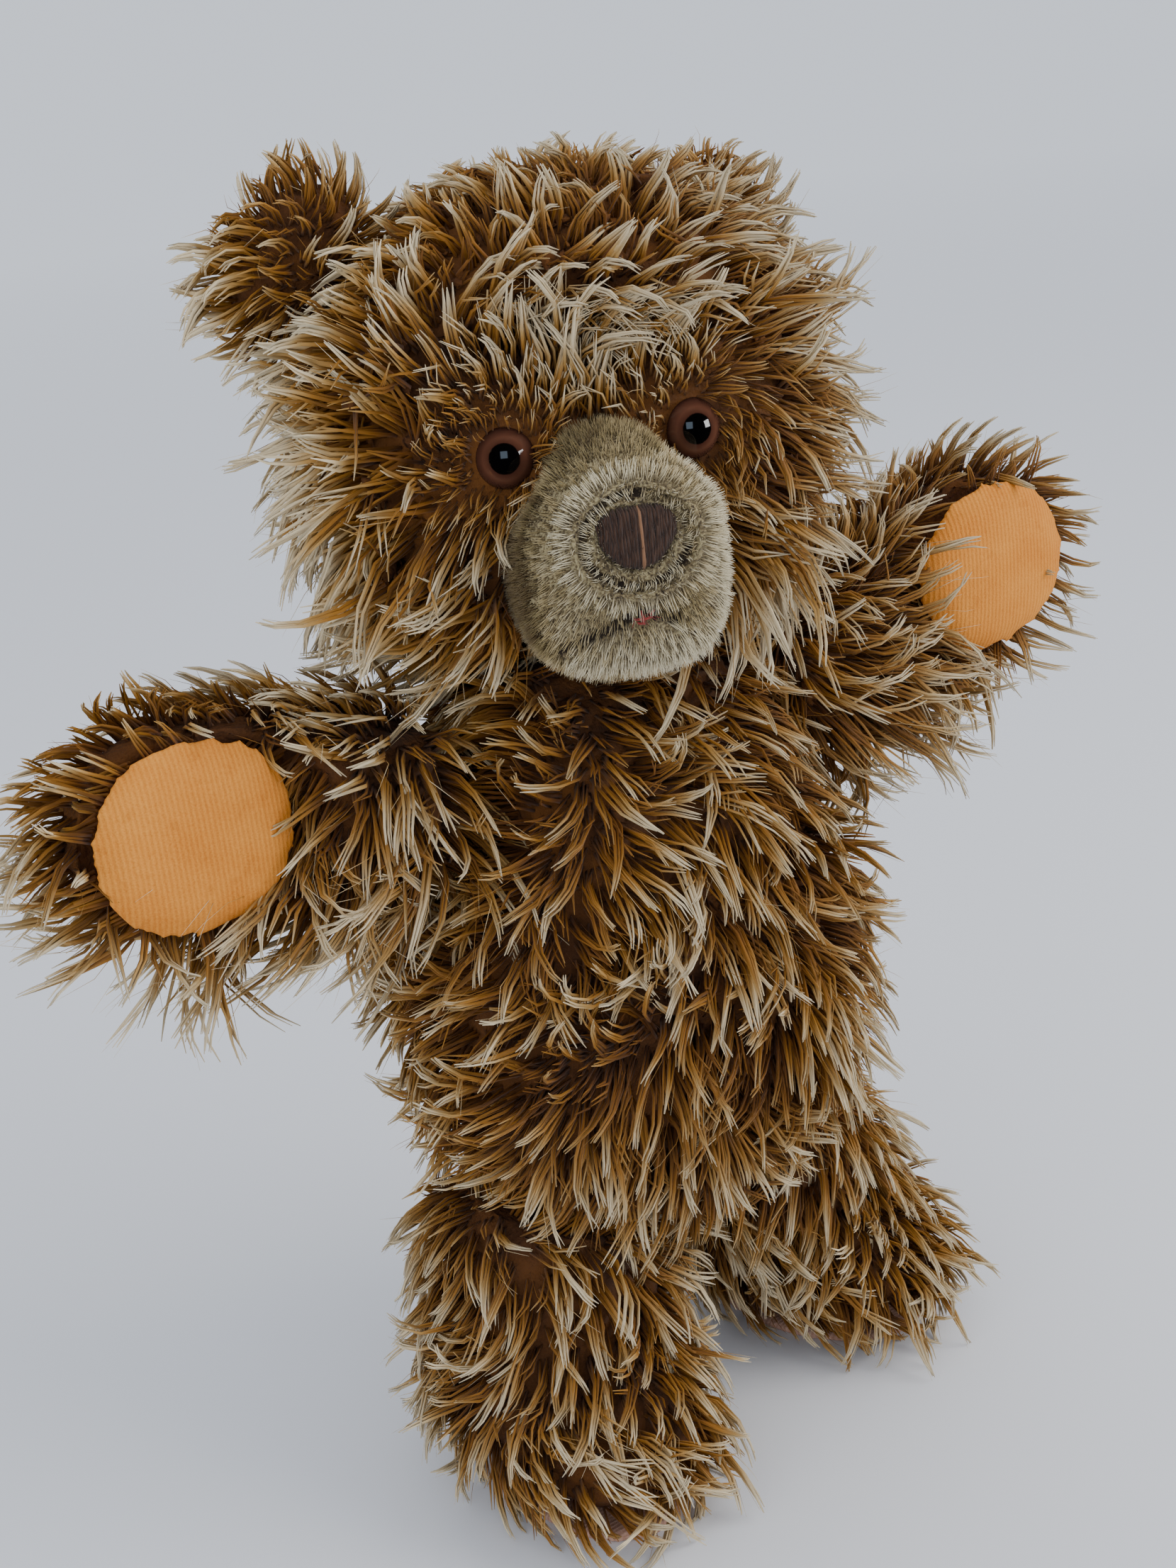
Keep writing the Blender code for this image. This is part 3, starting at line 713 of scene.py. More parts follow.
def head_length(point):
    """The head's pile is short round the eyes, long at the jaw and shorter over the crown."""
    near = nearest(point, EYES)
    deep = 0.009 + 0.017 * clamped((near - 0.009) / 0.014)
    jaw = clamped((0.268 - point.z) / 0.02)
    crown = clamped((point.z - 0.300) / 0.02)
    return deep + (0.007 * jaw - 0.010 * crown) * (near > 0.02)


def head_flow(point):
    """The head's pile runs back from the nose and then down, and away from each eye."""
    away = point - (HEAD_MIDDLE + FACE_WAY * 0.05 + Vector((0, 0, -0.008)))
    away.z *= 1.15
    front = max(0.0, face_share(point))
    down = Vector((0, 0, -1)) + (point - HEAD_MIDDLE).normalized() * 0.2
    flow = away.normalized() * (0.35 + front) + down * (1 - front) * 0.8
    for at in EYES.values():
        near = max(0.0, 1.0 - (point - at).length / 0.018)
        flow = flow + (point - at).normalized() * 3.0 * near
    return flow


def from_pad(point):
    """A point's way from the middle of the paw pad on its side, and which way is outward there."""
    hand = "right" if point.x < 0 else "left"
    return point - PADS[hand], math.copysign(1.0, point.x)


def pad_nearness(point):
    """1 at a paw pad and 0 away from it, or on its side toward the body."""
    off, outward = from_pad(point)
    return max(0.0, 1.0 - off.length / 0.040) * clamped(1 + off.x * outward / 0.012)


def limb_flow(point):
    """The arms' pile runs out along the arm and hangs, away from the pad, and up over the right one."""
    off, outward = from_pad(point)
    above = clamped(off.z / 0.020) * max(0.0, 1.0 - off.length / 0.060) * (point.x < 0)
    off.y = -0.010
    along = Vector((outward, -0.15, -0.75 + 0.9 * above))
    return along + off.normalized() * 5.0 * pad_nearness(point) * (1 - 1.2 * above)


def limb_lean(point):
    """The arms' pile lies flat, and stands up round the outer side of the pad."""
    return 1.7 - 0.9 * min(1.0, 2.5 * pad_nearness(point))


def arm_length_of(hand):
    """The arm's pile is short round the paw, and hangs long below the arm."""
    pad, arm = PADS[hand], middle_of("arm_" + hand)

    def length(point):
        off_pad = clamped(((point - pad).length - 0.025) / 0.020)
        under = clamped((arm.z + 0.002 - point.z) / 0.020)
        wrist = max(0.0, 1.0 - (point - pad - Vector((-0.026, 0, 0))).length / 0.022) * (hand == "left")
        return 0.017 + 0.007 * off_pad + 0.015 * under + 0.014 * wrist
    return length


def leg_flow(point):
    """The legs' pile hangs, and on the feet it runs forward and apart."""
    if point.z < 0.03:
        return Vector((point.x - math.copysign(0.04, point.x), -1.0, -0.1))
    return Vector((0.0, -0.2, -1.0))


def ear_length_of(node):
    """An ear's pile is shorter toward its edge."""
    middle = middle_of(node)
    return lambda point: 0.017 - 0.006 * clamped((point.z - middle.z) / 0.010)


def ear_flow_of(node):
    """An ear's pile runs outward from where it joins the head."""
    middle = middle_of(node)
    foot = middle + (HEAD_MIDDLE - middle).normalized() * 0.012
    return lambda point: point - foot


EYE_EDGE = 0.0078  # no long pile grows nearer than this to an eye's middle
bare_eyes = [(at, EYE_EDGE) for at in EYES.values()]
groomed("torso", torso_flow, torso_length, lean=1.35, shade=0.48, swirl=1.2)
groomed("head", head_flow, head_length, lean=1.45, shade=0.74, swirl=0.35, bare=bare_eyes)
for hand in ("right", "left"):
    groomed("arm_" + hand, limb_flow, arm_length_of(hand), lean=limb_lean, shade=0.56)
    groomed("leg_" + hand, leg_flow, 0.0225, lean=1.5, shade=0.62)
    ear = "ear_" + hand
    groomed(ear, ear_flow_of(ear), ear_length_of(ear), lean=1.35, shade=0.92)


def short_face_cover():
    """The head's cover with its growth kept to the short pile round the eyes and the muzzle."""
    piece = covers["head"].copy()
    piece.data = covers["head"].data.copy()
    density, lean = piece.data.attributes["density"].data, piece.data.attributes["lean"].data
    for place, vertex in enumerate(piece.data.vertices):
        near = nearest(vertex.co, EYES)
        density[place].value *= near < 0.015 or face_share(vertex.co) > 0.80
        if 0.0064 < near < EYE_EDGE and not within(patch_skins["muzzle"], vertex.co):
            density[place].value = 1.0
        lean[place].value = 0.75 + 0.6 * clamped((near - 0.008) / 0.012)
    return piece


PAD_CELL = 0.0012
CELL_TURN = Matrix.Rotation(0.6, 4, "X") @ Matrix.Rotation(0.5, 4, "Y") @ Matrix.Rotation(0.4, 4, "Z")


def hulled(node, name):
    """A pad's form with the nicks in its outline filled, in small even cells laid askew to its edge."""
    piece = merged_copy([node], name)
    bm = bmesh.new()
    for vertex in piece.data.vertices:
        bm.verts.new(vertex.co)
    bmesh.ops.convex_hull(bm, input=bm.verts)
    bmesh.ops.delete(bm, geom=[vertex for vertex in bm.verts if not vertex.link_faces], context="VERTS")
    bmesh.ops.recalc_face_normals(bm, faces=bm.faces)
    bm.to_mesh(piece.data)
    bm.free()
    piece.data.transform(CELL_TURN)
    reformed(piece, PAD_CELL)
    piece.data.transform(CELL_TURN.inverted())
    return piece


def pad_edge(hand):
    """A band behind a paw pad's edge, where the arm's pile stands out close round the pad."""
    piece = hulled("paw_pad_" + hand, "pad_edge_" + hand)
    outward = Vector((1.0 if hand == "left" else -1.0, 0, 0))
    rows = {name: [] for name in LOCK_ROWS}
    for vertex in piece.data.vertices:
        off = (vertex.co - PADS[hand]).normalized()
        outer = clamped(0.5 + off.dot(outward) - 0.6 * off.z)
        rows["comb"].append(outward * 0.5 + Vector((0, 1.0, -0.4)))
        rows["length"].append(0.010 + 0.009 * outer)
        rows["lean"].append(0.9)
        rows["curl"].append(1.6 * noise.noise(vertex.co * 70))
        rows["shade"].append(0.56 + 0.4 * noise.noise(vertex.co * 60))
        rows["density"].append(float(-0.6 < vertex.normal.y < 0.9 and off.dot(outward) > -0.55))
        rows["parting"].append(1.0)
    for vertex in piece.data.vertices:
        vertex.co = PADS[hand] + (vertex.co - PADS[hand]) * 0.94 + Vector((0, 0.003, 0))
    keep_rows(piece.data, rows)
    return piece


EAR_SPACING, ARM_SPACING = 0.0037, 0.0041
UNDERCOAT_SPACING, LOOSE_SPACING, FACE_SPACING = 0.0030, 0.0112, 0.0018
FACE_SEED, EDGE_SEED = 301, 401
locks = lock_tree()
for number, (node, cover) in enumerate(covers.items()):
    seed = 11 + 10 * number
    spacing = EAR_SPACING if "ear" in node else ARM_SPACING if "arm" in node else LOCK_SPACING
    grew = [
        grown(node + "_pile", cover, locks, material=pile_material, seed=seed, spacing=spacing,
              full_length=0.016 if node == "head" else 0.020),
        grown(node + "_wisps", cover, locks, material=pile_material, seed=seed, strands=1, points=3,
              spread=0.0024, thickness=0.00013, gather=0.2, length_share=1.04),
        grown(node + "_undercoat", cover, locks, material=pile_material, seed=seed + 4,
              spacing=UNDERCOAT_SPACING, strands=2, points=3, spread=0.0014, thickness=0.00055, wander=1.4,
              gather=0.3, length_share=0.66, lean_share=0.8, thin_out=0.72, shade_shift=-0.12),
        grown(node + "_loose_hairs", cover, locks, material=pile_material, seed=seed + 6,
              spacing=LOOSE_SPACING, strands=2, spread=0.004, thickness=0.00010, wander=1.9, gather=0.3,
              length_share=0.92, shade_shift=-0.15),
    ]
    if node == "head":
        face = short_face_cover()
        grew.append(grown("face_short_pile", face, locks, material=pile_material, seed=FACE_SEED,
                          spacing=FACE_SPACING, strands=2, points=3, thickness=0.00030, spread=0.0008,
                          gather=0.4, wander=1.3, length_share=0.74, full_length=0.011, thin_out=0.0,
                          shade_shift=-0.06))
    if "arm" in node:
        edge = pad_edge(node[4:])
        grew.append(grown(node + "_pad_edge_pile", edge, locks, material=pile_material, seed=EDGE_SEED,
                          spacing=FACE_SPACING, points=4, spread=0.0012, thickness=0.00045, wander=1.2,
                          full_length=0.018))
        bpy.data.objects.remove(edge)
    for piece in (*grew, cover):
        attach(piece, "root")
        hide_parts(node)

# ---------------------------------------------------------------- muzzle
# The muzzle is an inset of short upright pile on olive cloth, sewn in below the eyes and stuffed. It has worn
# thin, so dark ground shows through as specks, and it still stands up pale in a ring round the nose.

NOSE_MIDDLE = middle_of("nose_embroidery")
ACROSS = Vector((math.cos(FACE_TURN), math.sin(FACE_TURN), 0))
MUZZLE_CELL = 0.0010
muzzle = reformed(merged_copy(["muzzle"], "muzzle_ground"), MUZZLE_CELL, 14)
muzzle.data.shade_smooth()


def face_place(point):
    """Millimetres from the nose's middle to a point: across to the bear's left, up and forward."""
    off = (point - NOSE_MIDDLE) * 1000
    return off.dot(ACROSS), off.z, off.dot(FACE_WAY)


RING_HALF_WIDTH, RING_HALF_HEIGHT, RING_DROP = 14.7, 12.2, 0.8  # millimetres


def ring_share(across, up):
    """About 1 on the upright ring round the nose, and 0 at its middle."""
    return math.hypot(across / RING_HALF_WIDTH, (up + RING_DROP) / RING_HALF_HEIGHT)


MOUTH_PEAK, MOUTH_FALL, MOUTH_REACH = -16.4, 7.5, 17  # millimetres
LIP_PEAK = -17.0
FAR = 9.0  # what stands for the distance of a place that isn't near the crease


def crease_gap(across, up):
    """Millimetres from the worn mouth crease, which falls away from its peak to both sides."""
    if not -MOUTH_REACH < across < 8:
        return FAR
    return abs(up - MOUTH_PEAK + MOUTH_FALL * (abs(across) / MOUTH_REACH) ** 1.3)


def crease_below(across, up):
    """Whether a place is on the lip under the crease, where the pile lies long, down and pale."""
    return up < LIP_PEAK - MOUTH_FALL * (abs(across) / MOUTH_REACH) ** 1.3


def bell(value, middle, width):
    """1 at the middle, and falling off on both sides of it."""
    return math.exp(-((value - middle) / width) ** 2)


FRONT_EDGE, MUZZLE_SEAM = -12, -46  # millimetres behind the nose's middle
RING_RISE, RING_HOLLOW, CREASE_DEPTH = 0.0021, 0.0014, 0.0010
HALO_EDGE, RING_INNER, RING_OUTER = 0.71, 0.83, 1.05  # shares of the ring's size
for vertex in muzzle.data.vertices:
    across, up, ahead = face_place(vertex.co)
    if ahead < FRONT_EDGE:
        continue
    share = ring_share(across, up)
    rise = RING_RISE * bell(share, 0.94, 0.10) - RING_HOLLOW * bell(share, 0.77, 0.07)
    rise -= CREASE_DEPTH * bell(crease_gap(across, up), 0.0, 1.3)
    vertex.co += FACE_WAY * rise
muzzle.data.update()

rows = {name: [] for name in ("comb", "length", "lean", "shade", "density", "unshaded")}
for vertex in muzzle.data.vertices:
    point, normal = vertex.co.copy(), vertex.normal.copy()
    across, up, ahead = face_place(point)
    share = ring_share(across, up)
    patchy = noise.noise(point * 130)
    front = ahead > FRONT_EDGE
    crease = crease_gap(across, up) if front else FAR
    in_ring = front and RING_INNER < share < RING_OUTER
    halo = front and share < HALO_EDGE
    groove = front and HALO_EDGE <= share <= RING_INNER and (across < 3 or up < -4)
    beard = front and crease_below(across, up)
    if in_ring:
        long, lean = 0.0038, 0.2 if share < 0.93 else 0.75
    elif beard:
        long, lean = 0.0036, 1.25
    elif halo:
        long, lean = 0.0022, 0.5
    else:
        long, lean = 0.0028 + 0.0006 * patchy, 1.0 + 0.4 * patchy

    # pale in the ring, round the nose and toward the lower and outer edges; a painted highlight on the ring's
    # right half, and painted shade at the top and on the right flank
    edge = clamped((-up - 20) / 8) + clamped((across - 11) / 6) * (ahead > -25)
    pale = 0.56 + 0.3 * patchy + 0.42 * min(1.0, edge) + 0.12 * beard
    if in_ring:
        # painted highlight: the ring's half on the bear's right, whose inner wall faces the light, is paler
        pale = 1.0 if across < 2 else 0.8
    if halo:
        pale = 0.85
    # painted shade: darker at the top, toward the bridge between the eyes
    if up > 13:
        pale -= 0.20
    # painted shade: darker on the bear's right flank, which is turned from the light
    if ahead < -5 and across < 0:
        pale -= min(0.5 if up < 8 else 0.12, (-5 - ahead) / 16)

    # worn through in the groove, the crease and the band outside the ring
    left = 1.0
    if groove:
        left = 0.14 + 0.3 * patchy
    elif crease < 0.9 + 1.6 * patchy:
        left = 0.20
    elif front and RING_OUTER < share < 1.22 and across < 3:
        left = 0.45 + 0.3 * patchy
    elif front and share > 1.2 and across < 2 and not beard:
        left = 0.75 + 0.5 * patchy
    hidden = buried("muzzle", point - normal * 0.002) or ahead < MUZZLE_SEAM
    away = ACROSS * across + Vector((0, 0, up * 1.1)) + FACE_WAY * min(0.0, ahead) * 1.4
    rows["comb"].append(away.normalized())
    rows["length"].append(long)
    rows["lean"].append(lean)
    rows["shade"].append(clamped(pale))
    rows["density"].append(0.0 if hidden else left)
    # painted shade: the ground is darker near the mouth crease, and darker still in the groove inside the
    # ring
    rows["unshaded"].append(min(1.0, crease / 2.2) * (0.4 if groove else 1.0))
keep_rows(muzzle.data, rows)

short_pile, tree, shader = new_material("worn short pile")
strand, along = map_in(tree)
olive = ramp(strand, (0.0, tone(98, 78, 46)), (0.3, tone(144, 126, 82)), (0.6, tone(192, 171, 124)),
             (1.0, tone(242, 232, 200)))
# painted shade: each strand darkens toward its root, deep in the pile
depth = ramp(along, (0.0, (0.42, 0.38, 0.33, 1)), (0.45, (0.85, 0.83, 0.80, 1)), (1.0, (1, 1, 1, 1)))
fill(shader, {"Base Color": vector_calc("MULTIPLY", olive, depth), "Roughness": 0.7,
              "Specular IOR Level": 0.25, "Sheen Weight": 0.1})
MUZZLE_SPACING, MUZZLE_SEED = 0.00102, 201
muzzle_pile = grown("muzzle_pile", muzzle, locks, material=short_pile, seed=MUZZLE_SEED,
                    spacing=MUZZLE_SPACING, strands=3, points=2, spread=0.0006, thickness=0.00014,
                    wander=0.8, gather=0.2, full_length=0.0024, thin_out=0.0)

muzzle_cloth, tree, shader = new_material("worn olive ground")
place = place_in(tree)
specks, cloudy = cloud(place, 1500.0, 2.0), cloud(place, 160.0, 3.0)
# the ground darkened near the crease and in the groove: painted shade
unshaded = put(tree, "ShaderNodeAttribute", attribute_name="unshaded").outputs["Fac"]
level = plus(times(specks, 0.7), times(cloudy, 0.3))
level = times(level, times_plus(unshaded, 0.6, 0.4))
olive = ramp(level, (0.34, tone(46, 34, 22)), (0.46, tone(112, 96, 66)), (0.60, tone(164, 150, 112)))
fill(shader, {"Base Color": olive, "Roughness": 0.95, "Normal": bumps(specks, 0.9, 0.0005)})
dress(muzzle, muzzle_cloth)
for piece in (muzzle, muzzle_pile):
    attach(piece, "root")
    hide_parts("muzzle")

# ---------------------------------------------------------------- nose and mouth
# The nose is worked in upright satin stitches of brown yarn, packed side by side, with one paler stitch from
# a repair. Of the red mouth only a few frayed stitches are left.

NOSE_PITCH = 0.62  # millimetres from stitch to stitch
NOSE_ROWS = 13  # stitches on each side of the middle one
NOSE_HALF, NOSE_TOP, NOSE_BOTTOM = 8.4, 6.3, -7.0
STITCH_STEPS = 14
FIBRES, FRAYS = 150, 14
muzzle_skin, nose_skin = [skin_of(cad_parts[node].data) for node in ("muzzle", "nose_embroidery")]


def on_face(across, up, lift):
    """The face's surface at a place in millimetres from the nose's middle, lifted off by so many metres."""
    start = NOSE_MIDDLE + ACROSS * across / 1000 + Vector((0, 0, up / 1000)) + FACE_WAY * 0.05
    found = [hit for hit in (skin.ray_cast(start, -FACE_WAY)[0] for skin in (nose_skin, muzzle_skin)) if hit]
    front = min(found, key=lambda hit: (hit - start).length)
    return front + FACE_WAY * lift


def waver(*at):
    """A smooth random number for three others."""
    return noise.noise(Vector(at))


def yarn_tree():
    """Curves made into round yarn that narrows at its ends, with a map for its twist."""
    tree = bpy.data.node_groups.new("yarn", "GeometryNodeTree")
    given = sockets_of(tree, line=("Geometry", None), thickness=("Float", None), points=("Int", None),
                       material=("Material", None))
    curves = geo(tree, "ResampleCurve", {"Curve": given["line"], "Count": given["points"]})
    curves = stored(curves, t=geo(tree, "SplineParameter"), which=times(geo(tree, "CurveOfPoint"), 0.05))
    ends = minus(1.0, power(calc("ABSOLUTE", times_plus(named(tree, "t"), 2.0, -1.0)), 6.0))
    radius = times(given["thickness"], times_plus(ends, 0.5, 0.5))
    return ended(swept(curves, 6, radius, 0.09, "which"), given["material"])


def made_yarn(name, paths, tree, **values):
    """One length of yarn through each row of points, all as one plain mesh piece."""
    data = bpy.data.curves.new(name, "CURVE")
    data.dimensions = "3D"
    for points in paths:
        spline = data.splines.new("POLY")
        spline.points.add(len(points) - 1)
        spline.points.foreach_set("co", [c for p in points for c in (*p, 1.0)])
    line = placed(name + "_line", data)
    with_growth(line, tree, values)
    graph = bpy.context.evaluated_depsgraph_get()
    mesh = bpy.data.meshes.new_from_object(line.evaluated_get(graph))
    bpy.data.objects.remove(line)
    return placed(name, mesh)


def yarn_material(name, dark, light, odd=None):
    """Twisted yarn: plies by the yarn's own map, with fibre noise, and one odd paler length if asked."""
    material, tree, shader = new_material(name)
    strand, along = map_in(tree)
    twist = sine(plus(times(strand, 140.0), times(along, 22.0)))
    fibre = cloud(vector_of(times(strand, 260.0), times(along, 9.0)), 1.0, 2.0)
    height = times_plus(twist, 0.07, fibre)
    colour = ramp(height, (0.25, dark), (0.75, light))
    if odd is not None:
        first, last, pale = odd
        inside = times(calc("GREATER_THAN", strand, first), calc("LESS_THAN", strand, last))
        colour = put(tree, "ShaderNodeMix", {0: inside, 6: colour, 7: pale}, data_type="RGBA").outputs[2]
    fill(shader, {"Base Color": colour, "Roughness": 0.8, "Specular IOR Level": 0.3, "Sheen Weight": 0.15,
                  "Normal": bumps(height, 0.8, 0.0004)})
    return material


nose_paths = []
for count in range(-NOSE_ROWS, NOSE_ROWS + 1):
    across = count * NOSE_PITCH
    edge = abs(across / NOSE_HALF)
    ragged = 0.5 * waver(count * 1.7, 4, 0)
    top = NOSE_TOP - 3.4 * edge ** 4 + ragged
    bottom = NOSE_BOTTOM + 1.6 * edge + 5.2 * edge ** 3 + ragged
    points = []
    for step in range(STITCH_STEPS + 1):
        share = step / STITCH_STEPS
        sway = 0.34 * waver(count * 3.1, share * 2.5, 0)
        lift = 0.0003 + 0.0002 * math.sin(share * math.pi) + 0.0003 * waver(count * 2.3, 7, share)
        if step in (0, STITCH_STEPS):
            lift = -0.0012
        points.append(on_face(across * (1 - 0.05 * share) + sway, top + (bottom - top) * share, lift))
    nose_paths.append(points)
fibre_paths = []
for count in range(FIBRES):
    chosen = [noise.cell(Vector((count * 7.3, k * 3.1, 5.5))) for k in range(4)]
    x, z = 8.0 * (2 * chosen[0] - 1), 6.2 * (2 * chosen[1] - 1) - 0.3
    if (x / 8.2) ** 2 + (z / 6.6) ** 2 > 1:
        continue
    way, reach = FULL_CIRCLE * chosen[2], 0.7 + 1.0 * chosen[3]
    fibre_paths.append([on_face(x + reach * s / 4 * math.cos(way), z + reach * s / 4 * math.sin(way),
                                0.0005 + 0.00055 * math.sin(s / 4 * 2.2)) for s in range(5)])
yarn = yarn_tree()
pale_stitch = (0.699, 0.746, tone(140, 98, 66))
nose_yarn = yarn_material("brown nose yarn", tone(33, 18, 9), tone(84, 53, 33), odd=pale_stitch)
nose = made_yarn("nose_stitches", nose_paths, yarn, thickness=0.00044, points=16, material=nose_yarn)
fibres = made_yarn("nose_fibres", fibre_paths, yarn, thickness=0.00006, points=5, material=nose_yarn)
for piece in (nose, fibres):
    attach(piece, "root")
    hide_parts("nose_embroidery")

STITCH_ENDS = (((-2.4, -16.9), (1.6, -17.0), 0.0009), ((-0.7, -15.2), (-0.5, -18.4), 0.0009),
               ((0.8, -16.4), (1.9, -15.6), 0.0006), ((-1.8, -17.6), (-0.2, -18.4), 0.0006))
stitch_paths, fray_paths = [], []
for (x0, z0), (x1, z1), arch in STITCH_ENDS:
    points = []
    for step in range(9):
        share = step / 8
        lift = 0.0012 + arch * math.sin(share * math.pi)
        wobble = 0.25 * waver(x0 * 2, share * 4, z0)
        points.append(on_face(x0 + (x1 - x0) * share + wobble, z0 + (z1 - z0) * share + wobble, lift))
    stitch_paths.append(points)
for strand in range(FRAYS):
    x, z = -2.4 + 4.0 * (strand % 7) / 6, -17.0 + 1.4 * waver(strand * 1.7, 0, 3)
    way = strand * 2.4
    fray_paths.append([on_face(x + 1.6 * s / 5 * math.cos(way), z + 1.6 * s / 5 * math.sin(way),
                               0.0014 + 0.0002 * s) for s in range(6)])
red_yarn = yarn_material("faded red thread", tone(112, 24, 20), tone(186, 64, 54))
stitches = made_yarn("mouth_stitches", stitch_paths, yarn, thickness=0.00030, points=12, material=red_yarn)
frays = made_yarn("mouth_frays", fray_paths, yarn, thickness=0.00007, points=6, material=red_yarn)
for piece in (stitches, frays):
    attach(piece, "root")
    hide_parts("mouth_thread")

# ---------------------------------------------------------------- eyes
# Each eye is a moulded plastic dome with a red-brown iris and a black pupil under a clear gloss. Its shank
# goes through the cloth, and a pressed washer holds it from behind.

EYE_RADIUS, EYE_DOME = 0.0068, 0.0052
EYE_LOOKS = {"left": (-1.9, 0.8), "right": (0.6, 0.9)}  # millimetres that each pupil sits off its dome's top
EYE_SPLAY = math.radians(16)
EYE_TURNS = {"left": FACE_TURN + EYE_SPLAY, "right": FACE_TURN - EYE_SPLAY}
# the eye turned round its axis, as (radius, height) in millimetres: the dome, the flat back and the shank
EYE_PROFILE = [(0.0, 5.2), (1.3, 5.08), (2.7, 4.68), (3.9, 4.0), (4.9, 3.1), (5.7, 2.1), (6.35, 1.05),
               (6.75, 0.3), (6.8, 0.0), (6.5, -0.1), (5.0, -0.15), (2.2, -0.2), (1.8, -0.6), (1.8, -8.6),
               (1.4, -9.0), (0.0, -9.0)]


def eye_back(hand, way):
    """The middle of the flat back of an eye, which its dome and its shank stand out of."""
    tip = max((v.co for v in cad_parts["eye_" + hand].data.vertices), key=way.dot)
    return tip - way * EYE_DOME


eye_plastic, tree, shader = new_material("glossy eye plastic")
out = put(tree, "ShaderNodeAttribute", attribute_name="from middle").outputs["Fac"]
grain = cloud(place_in(tree), 700.0, 2.0)
out = plus(out, times(minus(grain, 0.5), 0.03))
# a black pupil and a red-brown iris, whose lighter middle band is painted light and whose darker rim is
# painted shade, in place of a clear dome's depth
iris = ramp(out, (0.0, tone(4, 4, 5)), (0.48, tone(6, 5, 5)), (0.52, tone(72, 42, 31)),
            (0.70, tone(94, 58, 43)), (0.88, tone(76, 46, 35)), (0.98, tone(50, 28, 22)))
fill(shader, {"Base Color": iris, "Roughness": 0.05})

for hand in EYES:
    bm = bmesh.new()
    outline = [bm.verts.new((radius / 1000, 0, height / 1000)) for radius, height in EYE_PROFILE]
    edges = [bm.edges.new(pair) for pair in zip(outline, outline[1:])]
    bmesh.ops.spin(bm, geom=outline + edges, cent=(0, 0, 0), axis=(0, 0, 1), angle=2 * math.pi, steps=40)
    bmesh.ops.remove_doubles(bm, verts=bm.verts, dist=1e-6)
    bmesh.ops.recalc_face_normals(bm, faces=bm.faces)
    away = bm.verts.layers.float.new("from middle")
    look_x, look_z = EYE_LOOKS[hand]
    for vert in bm.verts:
        share = vert.co.z / EYE_DOME
        off = math.hypot(vert.co.x - share * look_x / 1000, vert.co.y - share * look_z / 1000)
        vert[away] = off / EYE_RADIUS if vert.co.z > -0.0003 else 1.0
    way = Vector((math.sin(EYE_TURNS[hand]), -math.cos(EYE_TURNS[hand]), 0))
    upward = Vector((0, 0, 1))
    turned = Matrix((upward.cross(way), upward, way)).transposed().to_4x4()
    bm.transform(Matrix.Translation(eye_back(hand, way)) @ turned)
    mesh = bpy.data.meshes.new("eye_dome_" + hand)
    bm.to_mesh(mesh)
    bm.free()
    mesh.shade_smooth()
    eye = placed("eye_dome_" + hand, mesh)
    dress(eye, eye_plastic)
    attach(eye, "root")
    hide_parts("eye_" + hand)

washer_plastic, tree, shader = new_material("milky washer plastic")
milky = ramp(cloud(place_in(tree), 900.0, 2.0), (0.3, tone(196, 192, 182)), (0.7, tone(216, 212, 202)))
fill(shader, {"Base Color": milky, "Roughness": 0.5})
for hand in EYES:
    dress(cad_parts["eye_washer_" + hand], washer_plastic)

# ---------------------------------------------------------------- paw and sole pads
# The pads are knitted velour, apricot on the paws and faded rose under the feet, sewn into the pile's edge.
# The knit shows as fine ribs, and a little dirt has settled in the nap.


def velour(name, deep, bright, turn):
    """Knitted velour: fine ribs across the pad, a soft nap brushed in patches, and a light soiling."""
    material, tree, shader = new_material(name)
    place = place_in(tree)
    laid = put(tree, "ShaderNodeMapping", {"Vector": place, "Rotation": turn}).outputs[0]
    ribs = put(tree, "ShaderNodeTexWave", {"Vector": laid, "Scale": 260.0, "Distortion": 0.8, "Detail": 1.0,
                                           "Detail Scale": 3.0}).outputs["Fac"]
    nap, brushed, soil = cloud(place, 2600.0, 2.0), cloud(place, 85.0, 3.0), cloud(place, 240.0, 4.0)
    level = plus(times(ribs, 0.16), times(nap, 0.44))
    level = plus(level, times(brushed, 0.40))
    colour = ramp(level, (0.30, deep), (0.70, bright))
    grime = ramp(soil, (0.28, (0.90, 0.86, 0.80, 1)), (0.42, (1, 1, 1, 1)))
    height = times_plus(ribs, 0.5, nap)
    fill(shader, {"Base Color": vector_calc("MULTIPLY", colour, grime), "Normal": bumps(height, 0.7, 0.0003),
                  "Roughness": 0.85, "Specular IOR Level": 0.2, "Sheen Weight": 0.25,
                  "Sheen Roughness": 0.35, "Sheen Tint": bright})
    return material


apricot = velour("apricot velour", tone(200, 116, 34), tone(232, 154, 64), (0, 0, 0))
rose = velour("faded rose velour", tone(186, 140, 118), tone(226, 186, 164), (0, 0, math.pi / 2))
for node, cloth in (("paw_pad_right", apricot), ("paw_pad_left", apricot), ("sole_pad_right", rose),
                    ("sole_pad_left", rose)):
    pad = reformed(hulled(node, node + "_velour"), rounds=14)
    pad.data.shade_smooth()
    dress(pad, cloth)
    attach(pad, "root")
    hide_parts(node)

# ---------------------------------------------------------------- floor, light and camera
# A pale floor, painted brighter with distance, a large soft light from the upper right, a weak cool one from
# the left, and two lights that only show as glints in the eyes.

floor_mesh = bpy.data.meshes.new("floor")
bm = bmesh.new()
bmesh.ops.create_grid(bm, x_segments=1, y_segments=1, size=30.0)
bm.to_mesh(floor_mesh)
bm.free()
floor = placed("floor", floor_mesh)
floor_material, tree, shader = new_material("pale floor")
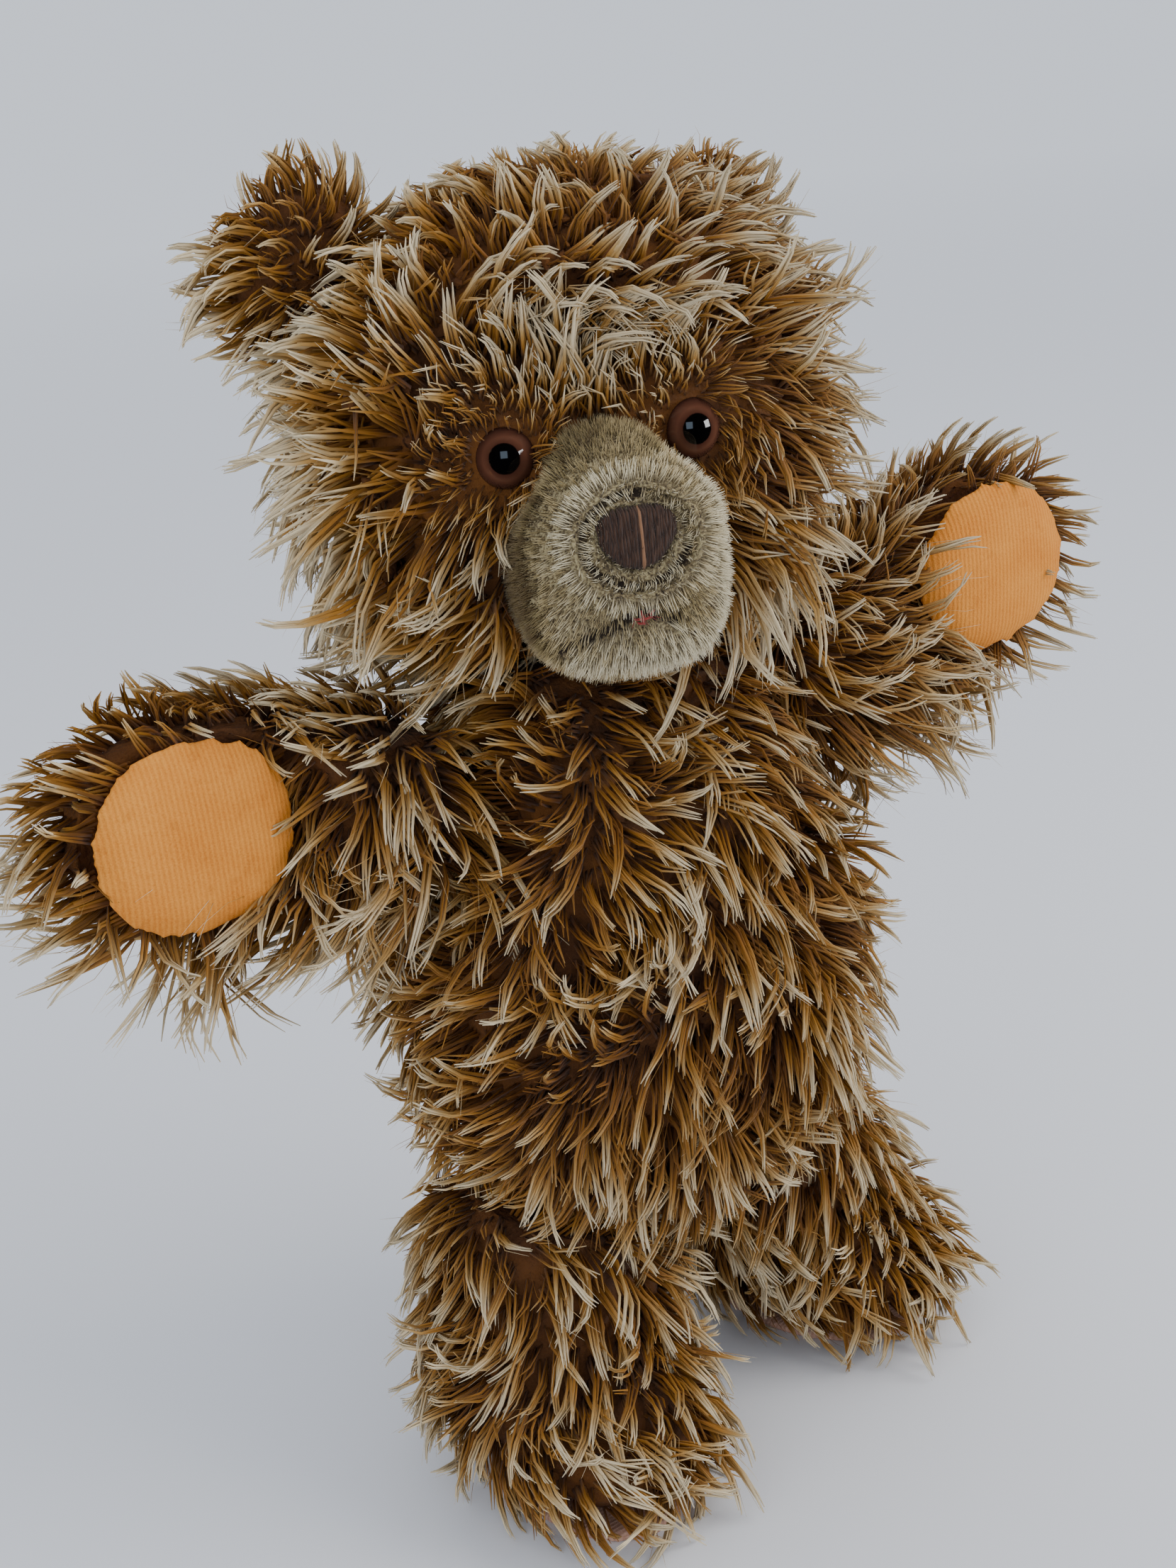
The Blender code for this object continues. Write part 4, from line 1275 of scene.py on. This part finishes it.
# painted light: the floor is painted paler with distance, up to white far off, so that it fades into the room
far = divided(vector_calc("LENGTH", place_in(tree)), 5.0)
fill(shader, {"Base Color": ramp(far, (0.12, tone(234, 234, 236)), (0.9, tone(255, 255, 255))),
              "Roughness": 0.9, "Specular IOR Level": 0.0})
dress(floor, floor_material)
floor.visible_glossy = False

world = bpy.data.worlds.new("soft room")
bpy.context.scene.world = world
world.use_nodes = True
fill(world.node_tree.nodes["Background"], {"Color": tone(226, 233, 245), "Strength": 1.12})
world.cycles_visibility.glossy = False


def soft_light(name, at, aim, size, watts, colour, glint):
    """A square soft light that faces its aim. A glint shows only in gloss, and the others never do."""
    light = bpy.data.lights.new(name, "AREA")
    light.size, light.energy, light.color = size, watts, colour
    lamp = placed(name, light)
    lamp.location = at
    lamp.rotation_euler = (Vector(aim) - Vector(at)).to_track_quat("-Z", "Y").to_euler()
    lamp.visible_glossy, lamp.visible_diffuse = glint, not glint


soft_light("window light", (0.85, -0.75, 0.95), (0, 0, 0.18), 0.9, 11.0, (1.0, 0.98, 0.95), False)
soft_light("fill light", (-0.9, -0.5, 0.5), (0, 0, 0.15), 0.8, 2.4, (0.88, 0.94, 1.0), False)
soft_light("bright glint", (0.92, -1.18, 0.54), (0, 0, 0.28), 0.55, 16.0, (1.0, 1.0, 1.0), True)
soft_light("cool glint", (-0.70, -1.10, 0.70), (0, 0, 0.28), 0.60, 3.2, (0.62, 0.80, 1.0), True)

CAMERA_SIDE = math.radians(-29.04)
CAMERA_DISTANCE = 0.459
CAMERA_HEIGHT = 0.362
CAMERA_PITCH = math.radians(20.92)
CAMERA_YAW = math.radians(1.217)
CAMERA_ROLL = math.radians(-6.345)
CAMERA_LENS = 44.54
camera_data = bpy.data.cameras.new("camera")
camera_data.sensor_fit = "VERTICAL"
camera_data.sensor_height, camera_data.sensor_width = 36.0, 27.0
camera_data.lens = CAMERA_LENS
camera = placed("camera", camera_data)
camera.location = (math.sin(CAMERA_SIDE) * CAMERA_DISTANCE, -math.cos(CAMERA_SIDE) * CAMERA_DISTANCE,
                   CAMERA_HEIGHT)
turn = Matrix.Rotation(CAMERA_SIDE + CAMERA_YAW, 4, "Z") @ Matrix.Rotation(math.pi / 2 - CAMERA_PITCH, 4, "X")
camera.rotation_euler = (turn @ Matrix.Rotation(CAMERA_ROLL, 4, "Z")).to_euler()
bpy.context.scene.camera = camera
